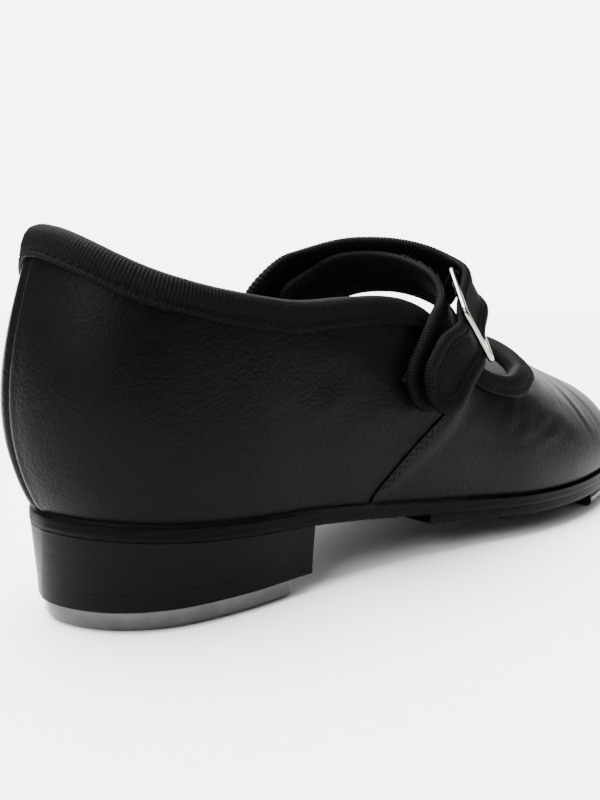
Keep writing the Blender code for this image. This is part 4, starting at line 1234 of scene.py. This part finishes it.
@dataclass
class Strap:
    """The double strap: the over strap and its tip, the under strap, the ring and its keeper."""

    last: Last
    width: float = 17.0
    under_width: float = 15.0
    edge_width: float = 4.5
    rib_pitch: float = 0.95
    wire: float = 0.85
    ring_width: float = 18.2
    gap: float = 0.3
    outer: np.ndarray = field(default_factory=lambda: np.array((106.4, -39.2, 61.1)))
    inner: np.ndarray = field(default_factory=lambda: np.array((118.0, -25.7, 73.6)))
    along: np.ndarray = field(default_factory=lambda: unit(np.array((0.72, 0.03, -0.69))))
    lean: np.ndarray = field(default_factory=lambda: unit(np.array((0.64, 0.0, -0.77))))
    wall_lean: np.ndarray = field(default_factory=lambda: np.array((0.72, 0.0, -0.69)))

    def __post_init__(self) -> None:
        """Find the ring's own directions: across its bars and outwards."""
        reach = self.inner - self.outer
        self.side = unit(reach - self.along * (reach @ self.along))
        out = unit(np.cross(self.along, self.side))
        self.out = out if out[1] < 0 else -out
        self.drop = self.wire + self.gap + 0.8

    def build(self) -> None:
        """Make the strap's pieces, the ring, the keeper and the hook-and-loop patches."""
        self.over_strap()
        self.under_strap()
        self.tip()
        self.ring()
        self.keeper()
        self.patches()

    def wide(self, middles: Sequence[Sequence[float]], lean: np.ndarray, width: float) -> list:
        """Return rows of one width for middle points in free space."""
        return [(np.array(middle), unit(lean) * width / 2) for middle in middles]

    def on_wall(self, places: Rows, width: float) -> list:
        """Return rows that lie along the outer wall, each (distance along, height, how proud)."""
        rows = []
        for x, z, proud in places:
            here = self.last.skin_at(x, z, LATERAL, proud)
            out = unit(here - self.last.skin_at(x, z, LATERAL))
            rows.append((here, unit(self.wall_lean - out * (self.wall_lean @ out)) * width / 2))
        return rows

    def inside(self, places: Rows) -> list:
        """Return rows that lie inside the inner wall, each (distance along, height, depth, half width)."""
        rows = []
        for x, z, depth, half in places:
            rows.append((self.last.skin_at(x, z, MEDIAL, -depth), unit(np.array((1, 0, -0.12))) * half))
        return rows

    def over_strap(self) -> None:
        """Make the over strap, from the ring's outer bar over the instep and down inside the inner wall."""
        reach = float(np.linalg.norm(self.inner - self.outer))
        rows = self.wide([self.outer + self.side * 2.2 - self.out * self.drop,
                          self.outer + self.side * reach * 0.5 + self.out * 0.2,
                          self.inner + self.out * (self.drop + 1.2)], self.along, self.width)
        rows += self.wide(OVER_ARCH, self.lean, self.width)
        rows.append((np.array((83, 18.8, 73)), np.array((10, -0.3, -1.4))))
        rows += self.inside([(81.5, 66, 6.1, 10.6), (81, 57, 6.4, 11)])
        pieces = self.bound(Band(rows), "over_strap", self.width / 2, False, ("over_strap", "strap_anchor"))
        for piece in pieces:
            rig.blend(piece, "root", "strap", place(*BEND_START), place(*BEND_END))

    def under_strap(self) -> None:
        """Make the under strap, whose round end lies on the outer wall below the tip."""
        rows = self.on_wall([(84.5, 44, 2.9), (90.5, 52.3, 2.9), (98, 61, 3.4)], self.under_width)
        rows += self.wide(UNDER_ARCH, self.lean, self.under_width)
        rows.append((np.array((91.5, 16.0, 71.4)), np.array((7.6, 0, -3.4))))
        rows += self.inside([(91, 64, 8.4, 7.8), (90, 56, 8.6, 8)])
        band = Band(rows)
        pieces = self.bound(band, "under_strap", self.under_width / 2, True, ("under_strap",))
        pieces.append(self.lint(band))
        for piece in pieces:
            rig.blend(piece, "root", "strap", place(*BEND_START), place(*BEND_END))

    def tip(self) -> None:
        """Make the strap's round tip, folded back outside the ring's outer bar."""
        rows = self.on_wall([(87.6, 43.6, 6.2), (92.6, 49.2, 6.2), (98.4, 54.9, 6.4)], self.width)
        through_ring = [self.outer - self.side * 0.6 - self.out * (self.drop + self.gap),
                        self.outer + self.side * 3.4 - self.out * (self.drop - 0.1)]
        rows += self.wide(through_ring, self.along, self.width)
        start, end = self.outer + self.side * 3, self.outer - self.side * 3
        for piece in self.bound(Band(rows), "strap_tip", self.width / 2, True, ("strap_tip",)):
            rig.blend(piece, "strap", "tip", place(*start), place(*end))

    def bound(self, band: Band, name: str, half: float, round_start: bool, nodes: Sequence[str]) -> list:
        """Make a strap of cloth with a folded ribbed tape round its edge.

        Args:
            band: the strap's surface.
            name: the strap's name.
            half: half its width.
            round_start: whether its first end is a half circle.
            nodes: the solids that it stands for.

        Returns:
            The cloth, the tape or tapes and the stitches.
        """
        pieces = [self.cloth(band, name, half, round_start)]
        for side in ((1,) if round_start else (1, -1)):
            label = "edge" if side > 0 else "far_edge"
            pieces += self.edging(band, f"{name}_{label}", half, side, round_start)
        for node in nodes:
            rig.replaces(pieces[0], node)
        return pieces

    def cloth(self, band: Band, name: str, half: float, round_start: bool) -> Piece:
        """Make the strap's middle layer, gently quilted between its stitched edges."""
        across = np.array((0.95, 0.75, 0.5, 0.25, 0, -0.25, -0.5, -0.75, -0.95))
        runs = np.linspace(0.35, band.length - 0.2, int(band.length / 1.1))
        if round_start:
            runs = np.concatenate([[0.4, 0.8, 1.3, 1.9], runs[runs > 2.4]])
        ring = np.concatenate([across, across[::-1]])
        sign = np.concatenate([np.ones(9), -np.ones(9)])
        rings = np.zeros((len(runs), len(ring), 3))
        for i, run in enumerate(runs):
            reach = 1.0
            if round_start and run < half:
                reach = math.sqrt(max(1 - (1 - run / half) ** 2, 0.002))
            puff = 0.5 - 0.18 * np.abs(ring) ** 2 + 0.05 * np.sin(run / 2.3 + ring * 2)
            rings[i] = band.at(np.full(len(ring), run), ring * reach, sign * puff)
        piece = tube_piece(f"{name}_cloth", rings, (band.length * MM, 0.034))
        smooth(piece, 60)
        dress(piece, STRAP_CLOTH)
        return report(piece)

    def edging(self, band: Band, name: str, half: float, side: int, round_start: bool) -> list:
        """Fold the ribbed tape over the strap's edge and stitch it down."""
        centre, turn, walked = edge_walk(band.length - 0.1, half, self.rib_pitch / 6, round_start)
        rib = 0.5 + 0.5 * np.cos(2 * math.pi * walked / self.rib_pitch)
        pucker = 0.1 * np.sin(walked / 3.1) + 0.07 * np.sin(walked / 1.3 + 2)
        width = self.edge_width
        profile = ((width, 0.25, 0.1), (width - 0.12, 0.8, 0.5), (width - 0.5, 1.02, 0.8),
                   (width - 1.0, 0.8, 0.4), (width - 1.6, 1.12, 1), (1.8, 1.3, 1), (0.8, 1.1, 1),
                   (0.1, 0.5, 1))
        profile += tuple((inward, -lift, share) for inward, lift, share in profile[::-1])
        rings = np.zeros((len(walked), len(profile), 3))
        for k, (inward, lift, share) in enumerate(profile):
            depth = inward + (pucker if inward > width - 1 else 0) - (0.1 * rib if inward < 0.5 else 0)
            raised = lift + math.copysign(0.24, lift) * (rib - 0.5) * share
            rings[:, k] = self.on_edge(band, centre, turn, depth, raised, half, side)
        piece = tube_piece(name, rings, (float(walked[-1]) * MM, 0.014))
        smooth(piece, 75)
        dress(piece, TAPE)
        report(piece)
        rows = [piece]
        for face, label in ((1, "outer"), (-1, "under")):
            line = self.on_edge(band, centre, turn, width - 1.0, face * 0.84, half, side)
            above = self.on_edge(band, centre, turn, width - 1.0, face * 1.84, half, side)
            row = dress(stitch_row(f"{name}_{label}_stitches", line, unit(above - line), 2.0, 0.17), THREAD)
            rows.append(report(row))
        return rows

    def on_edge(self, band: Band, centre: np.ndarray, turn: np.ndarray, inward: np.ndarray | float,
                lift: np.ndarray | float, half: float, side: int) -> np.ndarray:
        """Return places at a distance inside the strap's outline and a height off its middle surface."""
        reach = half - inward
        run = centre - np.sin(turn) * reach
        across = side * np.cos(turn) * reach / half
        return band.at(np.maximum(run, 0), across * np.ones_like(run), lift * np.ones_like(run))

    def lint(self, band: Band) -> Piece:
        """Scatter a few loose fibres that the hook tape has caught along the under strap's rear edge."""
        rng = np.random.default_rng(4)
        strands = []
        for _ in range(46):
            run = rng.uniform(34, 58) + np.array((0.0, 0.5, 0.9, 1.5)) * rng.uniform(-1.3, 1.3)
            across = -0.93 + rng.normal(0, 0.03) + rng.normal(0, 0.05, 4)
            lift = 0.95 + np.abs(rng.normal(0, 0.35, 4)) * np.array((0, 0.5, 1, 1))
            strands.append(band.at(run, across, lift))
        piece = threads("under_strap_lint", strands, 0.05)
        dress(piece, LINT)
        return report(piece)

    def ring(self) -> None:
        """Make the rounded rectangle of plated wire."""
        half_bar = self.ring_width / 2 + self.wire
        reach = float(np.linalg.norm(self.inner - self.outer))
        corner, sides = 2.3, 20
        middle = (self.outer + self.inner) / 2
        line = []
        for a_sign, b_sign, first in ((1, 1, 0), (-1, 1, 90), (-1, -1, 180), (1, -1, 270)):
            centre = middle + self.along * a_sign * (half_bar - corner)
            centre = centre + self.side * b_sign * (reach / 2 - corner)
            for angle in np.radians(first + np.linspace(0, 90, 10)):
                turned = self.along * math.cos(angle) + self.side * math.sin(angle)
                line.append(centre + turned * corner)
        line = np.array(line)
        fine = []
        for a, b in zip(line, np.roll(line, -1, axis=0)):
            pieces = max(int(np.linalg.norm(b - a) / 0.8), 1)
            fine += [a + (b - a) * k / pieces for k in range(pieces)]
        line = np.array(fine)
        ahead = unit(np.roll(line, -1, axis=0) - np.roll(line, 1, axis=0))
        across = unit(np.cross(ahead, self.out))
        turns = np.linspace(0, 2 * math.pi, sides, endpoint=False)
        rings = line[:, None] + self.wire * (across[:, None] * np.cos(turns)[None, :, None] * 1.06
                                             + self.out * np.sin(turns)[None, :, None] * 0.94)
        piece = tube_piece("ring_wire", rings, (0.08, 0.005), closed=True)
        smooth(piece, 60)
        finished(piece, NICKEL, "ring", "buckle_ring")

    def keeper(self) -> None:
        """Make the narrow loop of tape that ties the ring's inner bar to the under strap."""
        wrap = self.wire + self.gap + 0.3
        middle = self.inner - self.along * 4.0
        strap_out = unit(np.array((0.62, -0.57, 0.52)))
        low, high = np.array(UNDER_ARCH[1]), np.array(UNDER_ARCH[2])
        middles = [low + (high - low) * part + self.along * 3.2 + strap_out * 2.0 for part in (0.6, 0.25)]
        middles += [middle + (self.side * math.cos(turn) + self.out * math.sin(turn)) * wrap
                    for turn in np.radians([-70, -30, 10, 50, 90, 130])]
        band = Band(self.wide(middles, self.along, 7), 160)
        runs = np.linspace(0, band.length, 120)
        profile = ((1, 0), (0.94, 0.3), (0.5, 0.34), (0, 0.36), (-0.5, 0.34), (-0.94, 0.3), (-1, 0),
                   (-0.94, -0.3), (0, -0.32), (0.94, -0.3))
        rib = 0.07 * np.cos(2 * math.pi * runs / 0.7)
        rings = np.stack([band.at(runs, np.full(len(runs), a), np.full(len(runs), b) + np.sign(b) * rib)
                          for a, b in profile], axis=1)
        piece = tube_piece("ring_keeper_tape", rings, (band.length * MM, 0.014))
        smooth(piece, 60)
        finished(piece, TAPE, "strap", "ring_keeper")

    def patches(self) -> None:
        """Make the three hook-and-loop patches as plush pads."""
        under_end = [(86.6, 46.8), (90.2, 51.8), (94.6, 57.2)]
        tip_end = [(91.6, 46.8), (95.1, 50.8), (98.7, 54.7)]
        for node, places, proud, body in (("quarter_loop_patch", under_end, 0.6, "root"),
                                          ("strap_end_hook_patch", under_end, 1.5, "strap"),
                                          ("tip_hook_patch", tip_end, 4.6, "tip")):
            band = Band(self.on_wall([(x, z, proud) for x, z in places], 11), 80)
            shares = np.linspace(-1, 1, 40)
            runs = np.linspace(0, band.length, 50)
            rng = np.random.default_rng(len(node))
            top = np.zeros((len(runs), len(shares), 3))
            for i, run in enumerate(runs):
                tuft = 0.22 + rng.uniform(-0.05, 0.08, len(shares))
                top[i] = band.at(np.full(len(shares), run), shares, tuft)
            piece = grid_piece(f"{node}_pad", top, (band.length * MM, 0.011))
            face_out(piece, band.out[40])
            thicken(piece, 0.5)
            smooth(piece, 30)
            finished(piece, HOOK_PILE, body, node)


def threads(name: str, strands: Sequence[np.ndarray], radius: float) -> Piece:
    """Model loose threads, each a thin tapering prism through its points."""
    verts, faces = [], []
    for strand in strands:
        ahead = unit(strand[-1] - strand[0])
        across = unit(np.cross(ahead, np.array((0.2, 0.5, 0.8))))
        beyond = np.cross(ahead, across)
        base = len(verts)
        for index, here in enumerate(strand):
            size = radius * (1 - 0.5 * index / len(strand))
            for turn in THIRD_TURNS:
                verts.append(here + (across * math.cos(turn) + beyond * math.sin(turn)) * size)
        for index in range(len(strand) - 1):
            for a in range(3):
                b, low = (a + 1) % 3, base + index * 3
                faces.append((low + a, low + b, low + 3 + b, low + 3 + a))
        end = base + (len(strand) - 1) * 3
        faces += [(base + 2, base + 1, base), (end, end + 1, end + 2)]
    return mesh_piece(name, verts, faces)


# ---- bottom ----

@dataclass
class Bottom:
    """Soles, heel, taps and screws, and the layers hidden inside the shoe."""

    last: Last
    plates: tuple = (
        ("outsole", SOLE_EDGE), ("half_sole", SOLE_EDGE), ("heel_block", HEEL), ("heel_top_piece", HEEL),
        ("toe_tap_board", RUBBER), ("rubber_pad", RUBBER), ("sock_liner", SOCK), ("insole_board", BOARD),
        ("bottom_filler", CORK), ("shank", STEEL), ("heel_tap", ALLOY), ("toe_tap", ALLOY))

    def build(self) -> None:
        """Round off the solids of the bottom and give every hidden layer its finish."""
        for node, finish in self.plates:
            piece = from_node(node, f"{node}_finished", 0)
            self.fill_gap(piece, 0.0 if finish is ALLOY else 0.13)
            self.round_edges(piece, 0.4 if finish is ALLOY else 0.1)
            finished(piece, finish, "root", node)
        for node in ("heel_counter", "toe_puff"):
            finished(from_node(node, f"{node}_finished", 1), BOARD, "root", node)
        self.screws()

    def fill_gap(self, piece: Piece, reach: float) -> None:
        """Press a layer against its neighbours: its upper side rises and its lower side sinks a little."""
        points, normals = read_points(piece), read_normals(piece)
        points[:, 2] += np.sign(np.round(normals[:, 2], 1)) * reach
        write_points(piece, points)

    def round_edges(self, piece: Piece, width: float) -> None:
        """Break a plate's sharp edges, by a width in millimetres."""
        apply_modifier(piece, "BEVEL", width=width * MM, segments=3, limit_method="ANGLE",
                       angle_limit=math.radians(38))
        smooth(piece, 38)

    def screws(self) -> None:
        """Make the tap screws and the one that holds the heel, each rounded from its solid."""
        for index in range(3):
            for name in ("heel_tap_screw", "toe_tap_screw"):
                piece = from_node(f"{name}_{index + 1}", f"{name}_{index + 1}_turned", 1, 25)
                finished(piece, STEEL, "root", f"{name}_{index + 1}")
        piece = from_node("heel_fixing_screw", "heel_fixing_screw_turned", 1, 25)
        finished(piece, STEEL, "root", "heel_fixing_screw")


# ---- studio ----

@dataclass(frozen=True)
class Lamp:
    """One soft light: where it hangs, where it points, how large and how strong it is."""

    name: str
    where: tuple[float, float, float]
    at: tuple[float, float, float]
    size: tuple[float, float]
    power: float


LAMPS = (
    Lamp("key_left", (-0.75, -0.25, 0.6), (0.0, -0.02, 0.05), (0.5, 0.4), 9.0),
    Lamp("toe_softbox", (0.75, -0.65, 0.75), (0.1, 0.0, 0.04), (0.5, 0.5), 1.2),
)
CAMERA_PLACE = (-0.0833, -0.1471, 0.0678)
CAMERA_AZIMUTH, CAMERA_DROP = 42.14, 7.1
CAMERA_LENS, CAMERA_SENSOR = 42.0, 36.0
FLOOR_SIZE = 60.0
SKY_SPREAD = 62.0
SKY_POWER = 19.0
SKY_TILT = (0.1, -0.22)
BACKDROP = 6.6
BACKDROP_TOWARD = (0.67, 0.74, 0.0)
BACKDROP_EDGE = (0.68, 0.84)
ROOM = 0.25


class Studio:
    """The camera, the lights and the bright ground."""

    def build(self) -> None:
        """Set up the camera, the lamps, the world and the floor."""
        self.camera()
        for lamp in LAMPS:
            self.lamp(lamp)
        self.ceiling()
        self.room()
        self.floor()

    def ceiling(self) -> None:
        """Light everything evenly from straight above, as a wide diffusing ceiling does."""
        toward = Vector((SKY_TILT[0], SKY_TILT[1], -1))
        bpy.ops.object.light_add(type="SUN", location=(0, 0, 2),
                                 rotation=toward.to_track_quat("-Z", "Y").to_euler())
        light = bpy.context.object
        light.name = "diffusing_ceiling"
        light.data.angle = math.radians(SKY_SPREAD)
        light.data.energy = SKY_POWER

    def room(self) -> None:
        """Surround the set with a dim room and a bright backdrop beyond the toe."""
        world = bpy.data.worlds.new("studio_world")
        bpy.context.scene.world = world
        world.use_nodes = True
        nodes, links = world.node_tree.nodes, world.node_tree.links
        ground = nodes["Background"]
        ground.inputs["Color"].default_value = (1, 1, 1, 1)
        facing = nodes.new("ShaderNodeTexCoord")
        toward = nodes.new("ShaderNodeVectorMath")
        toward.operation = "DOT_PRODUCT"
        toward.inputs[1].default_value = BACKDROP_TOWARD
        links.new(facing.outputs["Generated"], toward.inputs[0])
        fade = nodes.new("ShaderNodeMapRange")
        fade.interpolation_type = "SMOOTHSTEP"
        fade.inputs["From Min"].default_value, fade.inputs["From Max"].default_value = BACKDROP_EDGE
        fade.inputs["To Min"].default_value = ROOM
        fade.inputs["To Max"].default_value = BACKDROP
        links.new(toward.outputs["Value"], fade.inputs["Value"])
        links.new(fade.outputs["Result"], ground.inputs["Strength"])

    def camera(self) -> None:
        """Stand the camera behind and outside the shoe, a little above its sole."""
        azimuth, drop = math.radians(CAMERA_AZIMUTH), math.radians(CAMERA_DROP)
        ahead = math.cos(drop)
        look = Vector((math.sin(azimuth) * ahead, math.cos(azimuth) * ahead, -math.sin(drop)))
        bpy.ops.object.camera_add(location=CAMERA_PLACE,
                                  rotation=look.to_track_quat("-Z", "Y").to_euler())
        camera = bpy.context.object
        camera.name = "camera"
        camera.data.lens = CAMERA_LENS
        camera.data.sensor_fit = "HORIZONTAL"
        camera.data.sensor_width = CAMERA_SENSOR
        camera.data.clip_start = 0.005
        bpy.context.scene.camera = camera

    def lamp(self, lamp: Lamp) -> None:
        """Hang one area light."""
        toward = Vector(lamp.at) - Vector(lamp.where)
        bpy.ops.object.light_add(type="AREA", location=lamp.where,
                                 rotation=toward.to_track_quat("-Z", "Y").to_euler())
        light = bpy.context.object
        light.name = lamp.name
        light.data.shape = "RECTANGLE"
        light.data.size, light.data.size_y = lamp.size
        light.data.energy = lamp.power

    def floor(self) -> None:
        """Lay the plain pale floor."""
        bpy.ops.mesh.primitive_plane_add(size=FLOOR_SIZE, location=(0, 0, 0))
        floor = bpy.context.object
        floor.name = "studio_floor"
        material = bpy.data.materials.new("pale_floor")
        material.use_nodes = True
        shader = material.node_tree.nodes["Principled BSDF"]
        shader.inputs["Base Color"].default_value = (0.9, 0.9, 0.9, 1)
        shader.inputs["Roughness"].default_value = 0.7
        floor.data.materials.append(material)
        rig.stage(floor)


def main() -> None:
    """Build the shoe on the frame's solids and light it."""
    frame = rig.load()
    NODES.update(frame["nodes"])
    sizes = {"cad": [list(corner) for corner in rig.bounds()]}
    last = Last()
    for group in (Upper(last), Strap(last), Bottom(last), Studio()):
        group.build()
    sizes["visual"] = [list(corner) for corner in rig.bounds()]
    with open(SIZE_FILE, "w") as out:
        json.dump(sizes, out)


if __name__ == "__main__":
    main()
